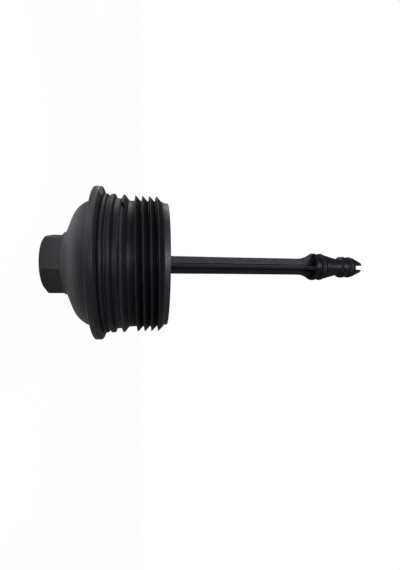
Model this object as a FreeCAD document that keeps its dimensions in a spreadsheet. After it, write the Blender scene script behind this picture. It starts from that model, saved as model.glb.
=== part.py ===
import FreeCAD, Part
import Sketcher
import math
import os
from types import SimpleNamespace

# Oil filter housing cap with a drain stem, standing on its hexagon with the mouth and stem upwards.
# The origin is the centre of the hexagon's end face, +Z runs along the axis and all lengths are in mm.

# Driving sizes: name, value, what it measures
SIZES = (
    # How far a cutting outline reaches past the material
    ("cut_reach", 1.0, "overhang of a cutting outline"),
    # Hexagon drive
    ("hex_across_flats", 32.0, "width of the hexagon across its flats"),
    ("hex_height", 11.0, "height where the flats meet the neck"),
    ("hex_face_radius", 15.5, "radius of the flat end face inside the chamfer"),
    ("hex_chamfer_height", 2.4, "height where the chamfer cone reaches the corners"),
    ("hex_end_wall", 4.0, "thickness of the end wall under the core hollow"),
    # Neck and dome, outside
    ("neck_radius", 18.5, "radius of the round neck above the hexagon"),
    ("neck_top", 12.0, "height where the neck ends"),
    ("dome_foot_radius", 19.6, "radius where the dome begins"),
    ("dome_foot_height", 13.0, "height where the dome begins"),
    ("dome_edge_radius", 30.0, "radius where the dome turns into its shoulder"),
    ("dome_edge_height", 17.8, "height where the dome turns into its shoulder"),
    ("shoulder_round", 14.3, "radius of the rounded shoulder"),
    ("shoulder_radius", 37.0, "radius of the cap at the top of the shoulder"),
    ("shoulder_height", 25.5, "height of the top of the shoulder"),
    # Flange
    ("flange_foot_radius", 37.4, "radius where the flange leaves the shell"),
    ("flange_foot_height", 26.7, "height where the flange leaves the shell"),
    ("flange_radius", 45.25, "outer radius of the flange"),
    ("flange_underside", 29.1, "height of the flange's lower edge"),
    ("flange_rim_height", 32.6, "height of the flange's upper edge"),
    ("flange_slope_radius", 42.0, "radius where the sloped upper face ends at the seal groove"),
    ("flange_edge", 0.7, "chamfer of both flange edges"),
    ("flange_edge_drop", 0.2, "height by which the lower chamfer falls further towards the shell"),
    # Seal groove, land, lower groove and ridge
    ("seal_groove_bottom", 33.6, "height of the cover seal groove's lower wall"),
    ("seal_groove_width", 3.15, "width of the cover seal groove"),
    ("seal_groove_radius", 38.35, "radius of the cover seal groove's floor"),
    ("seal_lip_radius", 40.15, "radius of the lip above the seal groove"),
    ("seal_lip_width", 0.95, "width of the lip above the seal groove"),
    ("relief_radius", 39.6, "radius of the fine relief groove's floor"),
    ("relief_width", 0.35, "width of the fine relief groove"),
    ("land_radius", 41.3, "radius of the guiding land"),
    ("land_width", 1.85, "width of the guiding land"),
    ("land_run_off", 1.0, "height over which the land slopes into the lower groove"),
    ("lower_groove_radius", 38.95, "radius of the lower groove's floor"),
    ("lower_groove_top", 43.7, "height where the lower groove ends"),
    ("ridge_radius", 41.2, "radius of the ridge before the thread"),
    ("ridge_rise", 1.0, "height over which the ridge rises"),
    ("ridge_crest_width", 0.7, "width of the ridge's crest"),
    ("ridge_run_off", 2.6, "height over which the ridge falls to the thread's root"),
    # Buttress thread
    ("thread_pitch", 4.0, "pitch of the single right-hand start"),
    ("thread_crest_radius", 40.85, "radius of the thread's crest"),
    ("thread_root_radius", 37.9, "radius of the thread's root"),
    ("thread_crest_width", 0.4, "width of the thread's crest"),
    ("thread_load_rise", 0.47, "height of the steep flank that faces the hexagon"),
    ("thread_clear_rise", 2.8, "height of the sloped flank that faces the mouth"),
    ("thread_first_crest", 51.03, "height of the crest where the thread reaches its full depth"),
    ("thread_first_angle", 150.0, "angle about the axis where it reaches its full depth"),
    ("thread_full_turns", 3.583, "turns at full depth"),
    ("thread_run_in", 0.5, "turns over which the thread rises out of the wall"),
    ("thread_run_out", 0.3, "turns over which the thread sinks back into the wall"),
    ("thread_bury", 0.25, "depth of the ridge's foot below the root"),
    ("thread_sink", 0.05, "depth of the crest below the root where the thread has sunk away"),
    ("thread_ramp_inset", 0.04, "amount by which the run-in and run-out are slimmer than the full run"),
    ("thread_ramp_lap", 0.006, "turns by which they reach into the full run"),
    # Rim and cavity
    ("skirt_foot_height", 66.7, "height where the skirt above the thread begins to taper"),
    ("skirt_radius", 37.2, "outer radius at the rim"),
    ("skirt_height", 68.6, "height where the taper ends"),
    ("rim_height", 70.3, "height of the rim"),
    ("rim_edge_chamfer", 0.4, "chamfer of the rim's outer edge"),
    ("bore_radius", 34.3, "inner radius of the cap"),
    ("bore_foot_height", 30.0, "height where the bore begins to follow the shoulder"),
    ("wall", 3.4, "wall thickness of the dome and shoulder"),
    ("dome_inner_step", 1.4, "radius by which the inside of the dome turns earlier than the outside"),
    ("shoulder_inner_rise", 0.5, "height by which the inside of the shoulder ends above the outside"),
    ("floor_height", 16.0, "height of the flat floor inside the cap"),
    ("floor_radius", 19.0, "radius of that floor"),
    ("core_radius", 11.5, "radius of the hollow inside the hexagon"),
    # Element spigot and the ribs that seat the element
    ("spigot_radius", 18.0, "outer radius of the spigot for the filter element"),
    ("spigot_wall", 1.8, "wall of the spigot"),
    ("spigot_top", 30.0, "height of the spigot"),
    ("spigot_lead", 0.8, "chamfer that leads the element onto the spigot"),
    ("spigot_foot_radius", 18.6, "outer radius of the spigot's foot, whose shoulder is flush with the ribs"),
    ("rib_count", 6, "number of radial ribs"),
    ("rib_thickness", 1.8, "thickness of a rib"),
    ("rib_top", 25.5, "height of the ribs' seats"),
    ("rib_bury", 0.35, "depth by which a rib's outer end reaches into the wall"),
    ("rib_end_drop", 1.0, "height of a rib's outer end below the top of the shoulder"),
    # Pivot socket and snap fingers that hold the stem
    ("socket_radius", 5.0, "outer radius of the pivot socket"),
    ("socket_drop", 0.5, "depth of the socket's top below the floor"),
    ("web_count", 4, "number of webs round the socket"),
    ("web_thickness", 1.6, "thickness of a web"),
    ("finger_count", 6, "number of snap fingers"),
    ("finger_thickness", 1.6, "thickness of a finger"),
    ("finger_gap", 3.4, "width of the slot between two fingers"),
    ("finger_barb", 1.3, "overhang of a finger's barb over the stem's foot"),
    ("finger_barb_height", 2.6, "height of the barb with its sloped lead-in"),
    ("finger_barb_face", 1.0, "height of the barb's straight inner face"),
    # Stem: foot and pivot
    ("foot_radius", 12.3, "radius of the stem's foot"),
    ("foot_thickness", 3.0, "thickness of the stem's foot"),
    ("foot_clearance", 0.1, "running clearance under and around the foot"),
    ("barb_clearance", 0.3, "axial play between the foot and the barbs"),
    ("foot_edge", 0.6, "chamfer of the foot's upper edge, which spreads the fingers"),
    ("pivot_radius", 3.0, "radius of the pivot pin under the foot"),
    ("pivot_length", 8.5, "length of the pivot pin"),
    ("pivot_clearance", 0.1, "radial clearance of the pivot pin in its socket"),
    ("pivot_lead", 0.6, "chamfer of the pivot pin's end"),
    # Stem: ribbed shaft
    ("stem_turn", -5.0, "angle at which the stem stands at rest"),
    ("stem_rib_thickness", 2.45, "thickness of the four ribs"),
    ("stem_rib_fillet", 0.8, "fillet in the corners between the ribs"),
    ("gusset_radius", 10.6, "reach of the ribs where they stand on the foot"),
    ("gusset_height", 24.0, "height over which the ribs narrow above the foot"),
    ("gusset_round", 60.0, "radius of the hollow curve of the narrowing ribs"),
    ("stem_radius", 5.6, "reach of the ribs above the narrowing"),
    ("stem_slim_radius", 5.35, "reach of the ribs in the slimmest part"),
    ("stem_slim_height", 112.0, "height where the slimmest part begins"),
    ("flare_length", 9.0, "height over which the ribs widen towards the upper collar"),
    ("flare_round", 14.1, "radius of the hollow curve of the widening ribs"),
    ("flare_radius", 8.6, "reach of the ribs under the upper collar"),
    ("flare_gap", 0.9, "height from there to the upper collar"),
    # Stem: upper collar and seal groove
    ("upper_collar_radius", 9.0, "radius of the upper collar"),
    ("upper_collar_width", 1.8, "width of the upper collar"),
    ("upper_collar_slope", 0.9, "height of the step behind the upper collar"),
    ("upper_body_radius", 7.95, "radius of the body that carries the upper seal"),
    ("upper_body_length", 1.1, "height of that body below the upper seal groove"),
    ("upper_groove_width", 4.2, "width of the upper seal groove"),
    ("upper_groove_radius", 5.35, "radius of the upper seal groove's floor"),
    ("upper_groove_lip", 0.6, "height of that body above the upper seal groove"),
    # Stem: cone between the seals
    ("upper_body_taper", 2.1, "height over which the body narrows to the step"),
    ("cone_step_radius", 7.45, "radius below the step"),
    ("cone_step_slope", 0.9, "height of the step"),
    ("cone_radius", 7.15, "radius where the smooth cone begins"),
    ("cone_length", 6.0, "length of the smooth cone"),
    ("cone_top_radius", 5.6, "radius where the smooth cone ends"),
    ("cone_neck_length", 1.2, "straight length between the cone and the second collar"),
    # Stem: lower collar, second seal groove and forked tip
    ("tip_collar_rise", 1.8, "height over which the second collar rises"),
    ("tip_collar_radius", 7.1, "radius of the second collar"),
    ("tip_collar_width", 2.4, "width of the second collar"),
    ("tip_collar_slope", 1.4, "height of the step behind the second collar"),
    ("tip_body_radius", 6.4, "radius of the body that carries the second seal"),
    ("tip_body_length", 0.5, "height of that body below the second seal groove"),
    ("tip_groove_width", 4.0, "width of the second seal groove"),
    ("tip_groove_radius", 3.45, "radius of the second seal groove's floor"),
    ("tip_shoulder_radius", 6.5, "radius where the tip begins to taper"),
    ("tip_groove_lip", 0.3, "height from the second seal groove to the taper"),
    ("tip_taper", 7.3, "length of the tip's taper"),
    ("tip_end_radius", 2.7, "radius at the end of the tip"),
    ("tip_edge", 0.6, "chamfer of the tip's end"),
    ("tip_end_height", 203.6, "height of the end of the tip"),
    ("fork_width", 3.0, "width of the slot in the forked tip"),
    ("fork_depth", 6.6, "depth of that slot"),
    # Seals
    ("cover_seal_section", 3.0, "section diameter of the cover seal"),
    ("cover_seal_stretch", 39.85, "radius of the cover seal to the middle of its section"),
    ("stem_seal_section", 3.6, "section diameter of the two stem seals"),
    ("seal_gap", 0.1, "gap between a seal's flattened inside and its groove's floor"),
)


# A length that knows its value and the sheet formula it comes from
class Size:
    def __init__(self, value, formula):
        self.value = float(value)
        self.formula = formula

    def joined(self, sign, other, value):
        text = other.formula if isinstance(other, Size) else repr(float(other))
        return Size(value, "(%s %s %s)" % (self.formula, sign, text))

    def __add__(self, other):
        return self.joined("+", other, self.value + number(other))

    def __sub__(self, other):
        return self.joined("-", other, self.value - number(other))

    def __mul__(self, other):
        return self.joined("*", other, self.value * number(other))

    def __truediv__(self, other):
        return self.joined("/", other, self.value / number(other))


def number(size):
    return size.value if isinstance(size, Size) else float(size)


def make_sizes(doc):
    sheet = doc.addObject("Spreadsheet::Sheet", "sizes")
    for row, (name, value, note) in enumerate(SIZES, start=1):
        sheet.set("A%d" % row, note)
        sheet.set("B%d" % row, str(value))
        sheet.setAlias("B%d" % row, name)
    doc.recompute()
    named = {name: Size(getattr(sheet, name), "sizes." + name) for name, _, _ in SIZES}
    return SimpleNamespace(**named)


# Heights on the stem's head, counted down from the end of the tip so that the head moves as one
def place_head(size):
    size.tip_shoulder_height = size.tip_end_height - size.tip_taper
    size.tip_groove_top = size.tip_shoulder_height - size.tip_groove_lip
    size.tip_groove_bottom = size.tip_groove_top - size.tip_groove_width
    size.tip_seal_height = size.tip_groove_bottom + size.tip_groove_width / 2.0
    size.tip_body_foot = size.tip_groove_bottom - size.tip_body_length
    size.tip_collar_top = size.tip_body_foot - size.tip_collar_slope
    size.tip_collar_height = size.tip_collar_top - size.tip_collar_width
    size.tip_collar_foot = size.tip_collar_height - size.tip_collar_rise
    size.cone_top_height = size.tip_collar_foot - size.cone_neck_length
    size.cone_height = size.cone_top_height - size.cone_length
    size.cone_step_height = size.cone_height - size.cone_step_slope
    size.upper_body_top = size.cone_step_height - size.upper_body_taper
    size.upper_groove_top = size.upper_body_top - size.upper_groove_lip
    size.upper_groove_bottom = size.upper_groove_top - size.upper_groove_width
    size.upper_seal_height = size.upper_groove_bottom + size.upper_groove_width / 2.0
    size.upper_body_foot = size.upper_groove_bottom - size.upper_body_length
    size.upper_collar_top = size.upper_body_foot - size.upper_collar_slope
    size.upper_collar_height = size.upper_collar_top - size.upper_collar_width
    size.flare_height = size.upper_collar_height - size.flare_gap
    size.flare_foot_height = size.flare_height - size.flare_length


def origin_feature(body, role):
    for feature in body.Origin.OriginFeatures:
        if feature.Role == role:
            return feature
    raise ValueError("the origin of %s has no %s" % (body.Label, role))


def new_body(doc, label):
    body = doc.addObject("PartDesign::Body", label)
    body.Label = label
    return body


# An edge of an outline between two of its corners: a straight line, or an arc whose centre lies to
# the left or right of the way from the first corner to the second
def outline_edge(first, last, bend):
    start = FreeCAD.Vector(number(first[0]), number(first[1]), 0.0)
    end = FreeCAD.Vector(number(last[0]), number(last[1]), 0.0)
    if bend is None:
        return Part.LineSegment(start, end), 1, 2
    radius, side = bend
    along = end - start
    left = FreeCAD.Vector(-along.y, along.x, 0.0).normalize()
    rise = math.sqrt(number(radius) ** 2 - (along.Length / 2.0) ** 2)
    towards = left if side == "left" else -left
    centre = (start + end) * 0.5 + towards * rise
    circle = Part.Circle(centre, FreeCAD.Vector(0.0, 0.0, 1.0), number(radius))
    start_angle = math.atan2(start.y - centre.y, start.x - centre.x)
    end_angle = math.atan2(end.y - centre.y, end.x - centre.x)
    if side == "left":
        return Part.ArcOfCircle(circle, start_angle, end_angle), 1, 2
    return Part.ArcOfCircle(circle, end_angle, start_angle), 2, 1


def bind(sketch, constraint, name, size):
    index = sketch.addConstraint(constraint)
    sketch.renameConstraint(index, name)
    if isinstance(size, Size):
        sketch.setExpression("Constraints." + name, size.formula)


# A closed outline through corners (across, up); bends gives the arcs by the number of their edge
def outline(body, name, plane, corners, bends=None):
    bends = bends or {}
    sketch = body.newObject("Sketcher::SketchObject", name)
    sketch.AttachmentSupport = [(origin_feature(body, plane), "")]
    sketch.MapMode = "FlatFace"
    ends = []
    for index, first in enumerate(corners):
        last = corners[(index + 1) % len(corners)]
        edge, first_end, last_end = outline_edge(first, last, bends.get(index))
        ends.append((sketch.addGeometry(edge, False), first_end, last_end))
    for index, (edge, first_end, last_end) in enumerate(ends):
        following, following_end, _ = ends[(index + 1) % len(ends)]
        sketch.addConstraint(Sketcher.Constraint("Coincident", edge, last_end, following, following_end))
        across, up = corners[index]
        for kind, axis, size in (("DistanceX", -2, across), ("DistanceY", -1, up)):
            if isinstance(size, Size):
                constraint = Sketcher.Constraint(kind, -1, 1, edge, first_end, size.value)
                bind(sketch, constraint, "%s%d" % (kind, index), size)
            else:
                sketch.addConstraint(Sketcher.Constraint("PointOnObject", edge, first_end, axis))
        if index in bends:
            radius = bends[index][0]
            bind(sketch, Sketcher.Constraint("Radius", edge, radius.value), "Bend%d" % index, radius)
    if sketch.solve() != 0:
        raise ValueError("the sketch %s can't be solved" % name)
    return sketch


# Volume in mm3 below which a feature counts as having done nothing
LEAST_CHANGE = 1e-6


# A feature must change its body by adding or taking material, as it is meant to
def settle(body, feature, takes):
    before = body.Shape.Volume if not body.Shape.isNull() else 0.0
    body.Tip = feature
    body.Document.recompute()
    change = body.Shape.Volume - before
    if (takes and change > -LEAST_CHANGE) or (not takes and change < LEAST_CHANGE):
        raise ValueError("%s of %s changed the volume by %.4f" % (feature.Name, body.Label, change))
    return feature


def turned(body, sketch, takes=False):
    kind = "PartDesign::Groove" if takes else "PartDesign::Revolution"
    feature = body.newObject(kind, sketch.Name + ("_cut" if takes else "_form"))
    feature.Profile = sketch
    feature.ReferenceAxis = (sketch, ["V_Axis"])
    feature.Angle = 360.0
    return settle(body, feature, takes)


# A sketch given a thickness to both sides of its plane
def plate(body, sketch, thickness, takes=False):
    kind = "PartDesign::Pocket" if takes else "PartDesign::Pad"
    feature = body.newObject(kind, sketch.Name + ("_cut" if takes else "_form"))
    feature.Profile = sketch
    feature.SideType = "Symmetric"
    feature.setExpression("Length", thickness.formula)
    return settle(body, feature, takes)


def polar(body, feature, count, takes=False):
    pattern = body.newObject("PartDesign::PolarPattern", feature.Name + "_ring")
    pattern.Originals = [feature]
    pattern.Axis = (origin_feature(body, "Z_Axis"), [""])
    pattern.Angle = 360.0
    pattern.setExpression("Occurrences", count.formula)
    return settle(body, pattern, takes)


def rounded(body, base, edges, radius):
    fillet = body.newObject("PartDesign::Fillet", base.Name + "_round")
    fillet.Base = (base, edges)
    fillet.setExpression("Radius", radius.formula)
    body.Tip = fillet
    body.Document.recompute()
    return fillet


# The hexagon drive with its chamfered end
def add_hexagon(body, size):
    corner_radius = size.hex_across_flats / math.sqrt(3.0)
    prism = body.newObject("PartDesign::AdditivePrism", "hexagon")
    prism.Polygon = 6
    prism.setExpression("Circumradius", corner_radius.formula)
    prism.setExpression("Height", size.hex_height.formula)
    prism.Placement = FreeCAD.Placement(FreeCAD.Vector(), FreeCAD.Rotation(30.0, 0.0, 0.0))
    settle(body, prism, False)
    beyond = corner_radius + size.cut_reach
    slope = size.hex_chamfer_height / (corner_radius - size.hex_face_radius)
    chamfer = outline(body, "hexagon_chamfer", "XZ_Plane", (
        (size.hex_face_radius, 0.0),
        (beyond, 0.0),
        (beyond, slope * (beyond - size.hex_face_radius)),
    ))
    turned(body, chamfer, takes=True)


# Neck, dome, flange, seal groove, land, ridge, thread root and skirt as one turned outline
def add_shell(body, size):
    groove_top = size.seal_groove_bottom + size.seal_groove_width
    lip_top = groove_top + size.seal_lip_width
    land_bottom = lip_top + size.relief_width
    land_top = land_bottom + size.land_width
    ridge_foot = size.lower_groove_top + size.ridge_rise
    ridge_top = ridge_foot + size.ridge_crest_width
    corners = (
        (0.0, size.hex_height),
        (size.neck_radius, size.hex_height),
        (size.neck_radius, size.neck_top),
        (size.dome_foot_radius, size.dome_foot_height),
        (size.dome_edge_radius, size.dome_edge_height),
        (size.shoulder_radius, size.shoulder_height),
        (size.flange_foot_radius, size.flange_foot_height),
        (size.flange_radius - size.flange_edge, size.flange_underside - size.flange_edge_drop),
        (size.flange_radius, size.flange_underside + size.flange_edge),
        (size.flange_radius, size.flange_rim_height - size.flange_edge),
        (size.flange_radius - size.flange_edge, size.flange_rim_height),
        (size.flange_slope_radius, size.seal_groove_bottom),
        (size.seal_groove_radius, size.seal_groove_bottom),
        (size.seal_groove_radius, groove_top),
        (size.seal_lip_radius, groove_top),
        (size.seal_lip_radius, lip_top),
        (size.relief_radius, lip_top),
        (size.relief_radius, land_bottom),
        (size.land_radius, land_bottom),
        (size.land_radius, land_top),
        (size.lower_groove_radius, land_top + size.land_run_off),
        (size.lower_groove_radius, size.lower_groove_top),
        (size.ridge_radius, ridge_foot),
        (size.ridge_radius, ridge_top),
        (size.thread_root_radius, ridge_top + size.ridge_run_off),
        (size.thread_root_radius, size.skirt_foot_height),
        (size.skirt_radius, size.skirt_height),
        (size.skirt_radius, size.rim_height - size.rim_edge_chamfer),
        (size.skirt_radius - size.rim_edge_chamfer, size.rim_height),
        (0.0, size.rim_height),
    )
    shoulder_edge = 4
    shell = outline(body, "shell", "XZ_Plane", corners, {shoulder_edge: (size.shoulder_round, "left")})
    turned(body, shell)


# The inside of the cap, with the hollow in the hexagon
def add_cavity(body, size):
    dome_slope = (size.dome_edge_height - size.dome_foot_height) / (size.dome_edge_radius - size.dome_foot_radius)
    inner_edge_radius = size.dome_edge_radius - size.dome_inner_step
    inner_edge_height = size.floor_height + dome_slope * (inner_edge_radius - size.floor_radius)
    corners = (
        (0.0, size.hex_end_wall),
        (size.core_radius, size.hex_end_wall),
        (size.core_radius, size.floor_height),
        (size.floor_radius, size.floor_height),
        (inner_edge_radius, inner_edge_height),
        (size.shoulder_radius - size.wall, size.shoulder_height + size.shoulder_inner_rise),
        (size.bore_radius, size.bore_foot_height),
        (size.bore_radius, size.rim_height + size.cut_reach),
        (0.0, size.rim_height + size.cut_reach),
    )
    inner_shoulder_edge = 4
    cavity = outline(body, "cavity", "XZ_Plane", corners, {
        inner_shoulder_edge: (size.shoulder_round - size.wall, "left"),
    })
    turned(body, cavity, takes=True)


# The spigot that the filter element is pushed onto
def add_spigot(body, size):
    inner = size.spigot_radius - size.spigot_wall
    foot = size.floor_height - size.wall / 2.0
    spigot = outline(body, "spigot", "XZ_Plane", (
        (inner, foot),
        (size.spigot_foot_radius, foot),
        (size.spigot_foot_radius, size.rib_top),
        (size.spigot_radius, size.rib_top),
        (size.spigot_radius, size.spigot_top - size.spigot_lead),
        (size.spigot_radius - size.spigot_lead, size.spigot_top),
        (inner, size.spigot_top),
    ))
    turned(body, spigot)


# Radial ribs from the spigot to the shell; their top edges seat the element
def add_ribs(body, size):
    inner = size.spigot_radius - size.spigot_wall / 2.0
    foot = size.floor_height - size.wall / 2.0
    outer = size.bore_radius + size.rib_bury
    rib = outline(body, "rib", "XZ_Plane", (
        (inner, foot),
        (size.floor_radius, foot),
        (size.dome_edge_radius - size.dome_inner_step, size.dome_edge_height + size.wall / 2.0),
        (outer, size.shoulder_height - size.rib_end_drop),
        (outer, size.rib_top),
        (inner, size.rib_top),
    ))
    polar(body, plate(body, rib, size.rib_thickness), size.rib_count)


# The socket for the stem's pivot and the webs that brace it
def add_socket(body, size):
    top = size.floor_height - size.socket_drop
    foot = size.hex_end_wall / 2.0
    bore = size.pivot_radius + size.pivot_clearance
    socket = outline(body, "socket", "XZ_Plane", (
        (bore, foot),
        (size.socket_radius, foot),
        (size.socket_radius, top),
        (bore, top),
    ))
    turned(body, socket)
    web = outline(body, "web", "XZ_Plane", (
        ((size.socket_radius + bore) / 2.0, foot),
        (size.core_radius + size.wall / 4.0, foot),
        (size.core_radius + size.wall / 4.0, top),
        ((size.socket_radius + bore) / 2.0, top),
    ))
    polar(body, plate(body, web, size.web_thickness), size.web_count)


# A ring of snap fingers with inward barbs over the stem's foot, parted by slots
def add_fingers(body, size):
    inner = size.foot_radius + size.foot_clearance
    outer = inner + size.finger_thickness
    foot = size.floor_height - size.wall / 4.0
    barb = size.floor_height + size.foot_clearance + size.foot_thickness + size.barb_clearance
    top = barb + size.finger_barb_height
    reach = size.foot_radius - size.finger_barb
    fingers = outline(body, "fingers", "XZ_Plane", (
        (inner, foot),
        (outer, foot),
        (outer, top),
        (inner, top),
        (reach, barb + size.finger_barb_face),
        (reach, barb),
        (inner, barb),
    ))
    turned(body, fingers)
    slot = outline(body, "finger_slot", "XZ_Plane", (
        (reach - size.cut_reach, size.floor_height),
        (outer + size.cut_reach, size.floor_height),
        (outer + size.cut_reach, top + size.cut_reach),
        (reach - size.cut_reach, top + size.cut_reach),
    ))
    polar(body, plate(body, slot, size.finger_gap, takes=True), size.finger_count, takes=True)


# One span of the buttress thread: its section swept along a helix whose crest goes from one radius to
# another, so that the ridge rises out of the wall, runs at full depth or sinks back into the wall
def thread_span(doc, size, name, turns, start_radius, end_radius, turns_before, inset=0.0):
    pitch = size.thread_pitch.value
    depth = size.thread_crest_radius.value - size.thread_root_radius.value
    half_crest = size.thread_crest_width.value / 2.0 - inset
    load_foot = -half_crest - size.thread_load_rise.value
    clear_foot = half_crest + size.thread_clear_rise.value
    foot = -depth - size.thread_bury.value
    section = (
        (foot, load_foot),
        (-depth, load_foot),
        (0.0, -half_crest),
        (0.0, half_crest),
        (-depth, clear_foot),
        (foot, clear_foot),
    )
    cone_angle = math.degrees(math.atan((end_radius - start_radius) / (pitch * turns)))
    spine = Part.Wire(Part.makeLongHelix(pitch, pitch * turns, start_radius, cone_angle))
    corners = [FreeCAD.Vector(start_radius + out, 0.0, up) for out, up in section]
    sweep = Part.BRepOffsetAPI.MakePipeShell(spine)
    sweep.setBiNormalMode(FreeCAD.Vector(0.0, 0.0, 1.0))
    sweep.add(Part.makePolygon(corners + corners[:1]))
    sweep.build()
    sweep.makeSolid()
    span = doc.addObject("Part::Feature", name)
    span.Shape = sweep.shape()
    angle = size.thread_first_angle.value + 360.0 * turns_before
    height = size.thread_first_crest.value + pitch * turns_before
    span.Placement = FreeCAD.Placement(FreeCAD.Vector(0.0, 0.0, height), FreeCAD.Rotation(angle, 0.0, 0.0))
    return span


# The full run, with a run-in and a run-out that are a trace slimmer and end inside it
def make_thread(doc, size):
    crest = size.thread_crest_radius.value
    sunk = size.thread_root_radius.value - size.thread_sink.value
    run_in = size.thread_run_in.value
    full = size.thread_full_turns.value
    run_out = size.thread_run_out.value
    inset = size.thread_ramp_inset.value
    lap = size.thread_ramp_lap.value
    slim_crest = crest - inset
    return [
        thread_span(doc, size, "thread_run", full, crest, crest, 0.0),
        thread_span(doc, size, "thread_run_in", run_in + lap, sunk, slim_crest, -run_in, inset),
        thread_span(doc, size, "thread_run_out", run_out + lap, slim_crest, sunk, full - lap, inset),
    ]


def make_cap(doc, size):
    moulding = new_body(doc, "cap_moulding")
    add_hexagon(moulding, size)
    add_shell(moulding, size)
    add_cavity(moulding, size)
    add_spigot(moulding, size)
    add_ribs(moulding, size)
    add_socket(moulding, size)
    add_fingers(moulding, size)
    cap = moulding
    for span in make_thread(doc, size):
        joined = doc.addObject("Part::Fuse", "cap_with_" + span.Name)
        joined.Base = cap
        joined.Tool = span
        cap = joined
    cap.Label = "cap_body"
    doc.recompute()
    return cap


# The stem: foot with its pivot, ribbed shaft, two collars with seal grooves and the forked tip
def make_stem(doc, size):
    body = new_body(doc, "centre_stem")
    foot_bottom = size.floor_height + size.foot_clearance
    foot_top = foot_bottom + size.foot_thickness
    half = size.stem_rib_thickness / 2.0
    reach = size.gusset_radius + size.cut_reach
    cross = [
        (half, half), (half, reach), (half * -1.0, reach), (half * -1.0, half),
        (reach * -1.0, half), (reach * -1.0, half * -1.0), (half * -1.0, half * -1.0),
        (half * -1.0, reach * -1.0), (half, reach * -1.0), (half, half * -1.0),
        (reach, half * -1.0), (reach, half),
    ]
    ribs = outline(body, "ribs", "XY_Plane", cross)
    shaft = body.newObject("PartDesign::Pad", "ribs_form")
    shaft.Profile = ribs
    ribs_top = size.upper_collar_height + size.upper_collar_width / 2.0
    shaft.setExpression("Length", ribs_top.formula)
    settle(body, shaft, False)
    corner_edges = []
    for index, edge in enumerate(body.Shape.Edges, start=1):
        middle = edge.CenterOfMass
        if math.isclose(abs(middle.x), half.value) and math.isclose(abs(middle.y), half.value):
            corner_edges.append("Edge%d" % index)
    rounded(body, shaft, corner_edges, size.stem_rib_fillet)

    outside = reach + size.cut_reach
    trim = outline(body, "rib_trim", "XZ_Plane", (
        (size.gusset_radius, foot_top),
        (size.stem_radius, foot_top + size.gusset_height),
        (size.stem_slim_radius, size.stem_slim_height),
        (size.stem_slim_radius, size.flare_foot_height),
        (size.flare_radius, size.flare_height),
        (size.flare_radius, ribs_top),
        (outside, ribs_top),
        (outside, foot_top),
    ), {0: (size.gusset_round, "right"), 3: (size.flare_round, "right")})
    turned(body, trim, takes=True)
    below = outline(body, "foot_trim", "XZ_Plane", (
        (0.0, 0.0),
        (outside, 0.0),
        (outside, foot_bottom),
        (0.0, foot_bottom),
    ))
    turned(body, below, takes=True)

    pivot_end = foot_bottom - size.pivot_length
    foot = outline(body, "foot", "XZ_Plane", (
        (0.0, pivot_end),
        (size.pivot_radius - size.pivot_lead, pivot_end),
        (size.pivot_radius, pivot_end + size.pivot_lead),
        (size.pivot_radius, foot_bottom),
        (size.foot_radius, foot_bottom),
        (size.foot_radius, foot_top - size.foot_edge),
        (size.foot_radius - size.foot_edge, foot_top),
        (0.0, foot_top),
    ))
    turned(body, foot)

    head_corners = (
        (0.0, size.upper_collar_height),
        (size.upper_collar_radius, size.upper_collar_height),
        (size.upper_collar_radius, size.upper_collar_top),
        (size.upper_body_radius, size.upper_body_foot),
        (size.upper_body_radius, size.upper_groove_bottom),
        (size.upper_groove_radius, size.upper_groove_bottom),
        (size.upper_groove_radius, size.upper_groove_top),
        (size.upper_body_radius, size.upper_groove_top),
        (size.upper_body_radius, size.upper_body_top),
        (size.cone_step_radius, size.cone_step_height),
        (size.cone_radius, size.cone_height),
        (size.cone_top_radius, size.cone_top_height),
        (size.cone_top_radius, size.tip_collar_foot),
        (size.tip_collar_radius, size.tip_collar_height),
        (size.tip_collar_radius, size.tip_collar_top),
        (size.tip_body_radius, size.tip_body_foot),
        (size.tip_body_radius, size.tip_groove_bottom),
        (size.tip_groove_radius, size.tip_groove_bottom),
        (size.tip_groove_radius, size.tip_groove_top),
        (size.tip_shoulder_radius, size.tip_groove_top),
        (size.tip_shoulder_radius, size.tip_shoulder_height),
        (size.tip_end_radius + size.tip_edge, size.tip_end_height - size.tip_edge),
        (size.tip_end_radius, size.tip_end_height),
        (0.0, size.tip_end_height),
    )
    head = outline(body, "head", "XZ_Plane", head_corners)
    turned(body, head)

    fork_bottom = size.tip_end_height - size.fork_depth
    fork_end = size.tip_end_height + size.cut_reach
    half_fork = size.fork_width / 2.0
    fork = outline(body, "fork", "XZ_Plane", (
        (half_fork * -1.0, fork_bottom),
        (half_fork, fork_bottom),
        (half_fork, fork_end),
        (half_fork * -1.0, fork_end),
    ))
    plate(body, fork, size.tip_shoulder_radius * 2.0, takes=True)
    body.Placement = FreeCAD.Placement(FreeCAD.Vector(), FreeCAD.Rotation(size.stem_turn.value, 0.0, 0.0))
    return body


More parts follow.
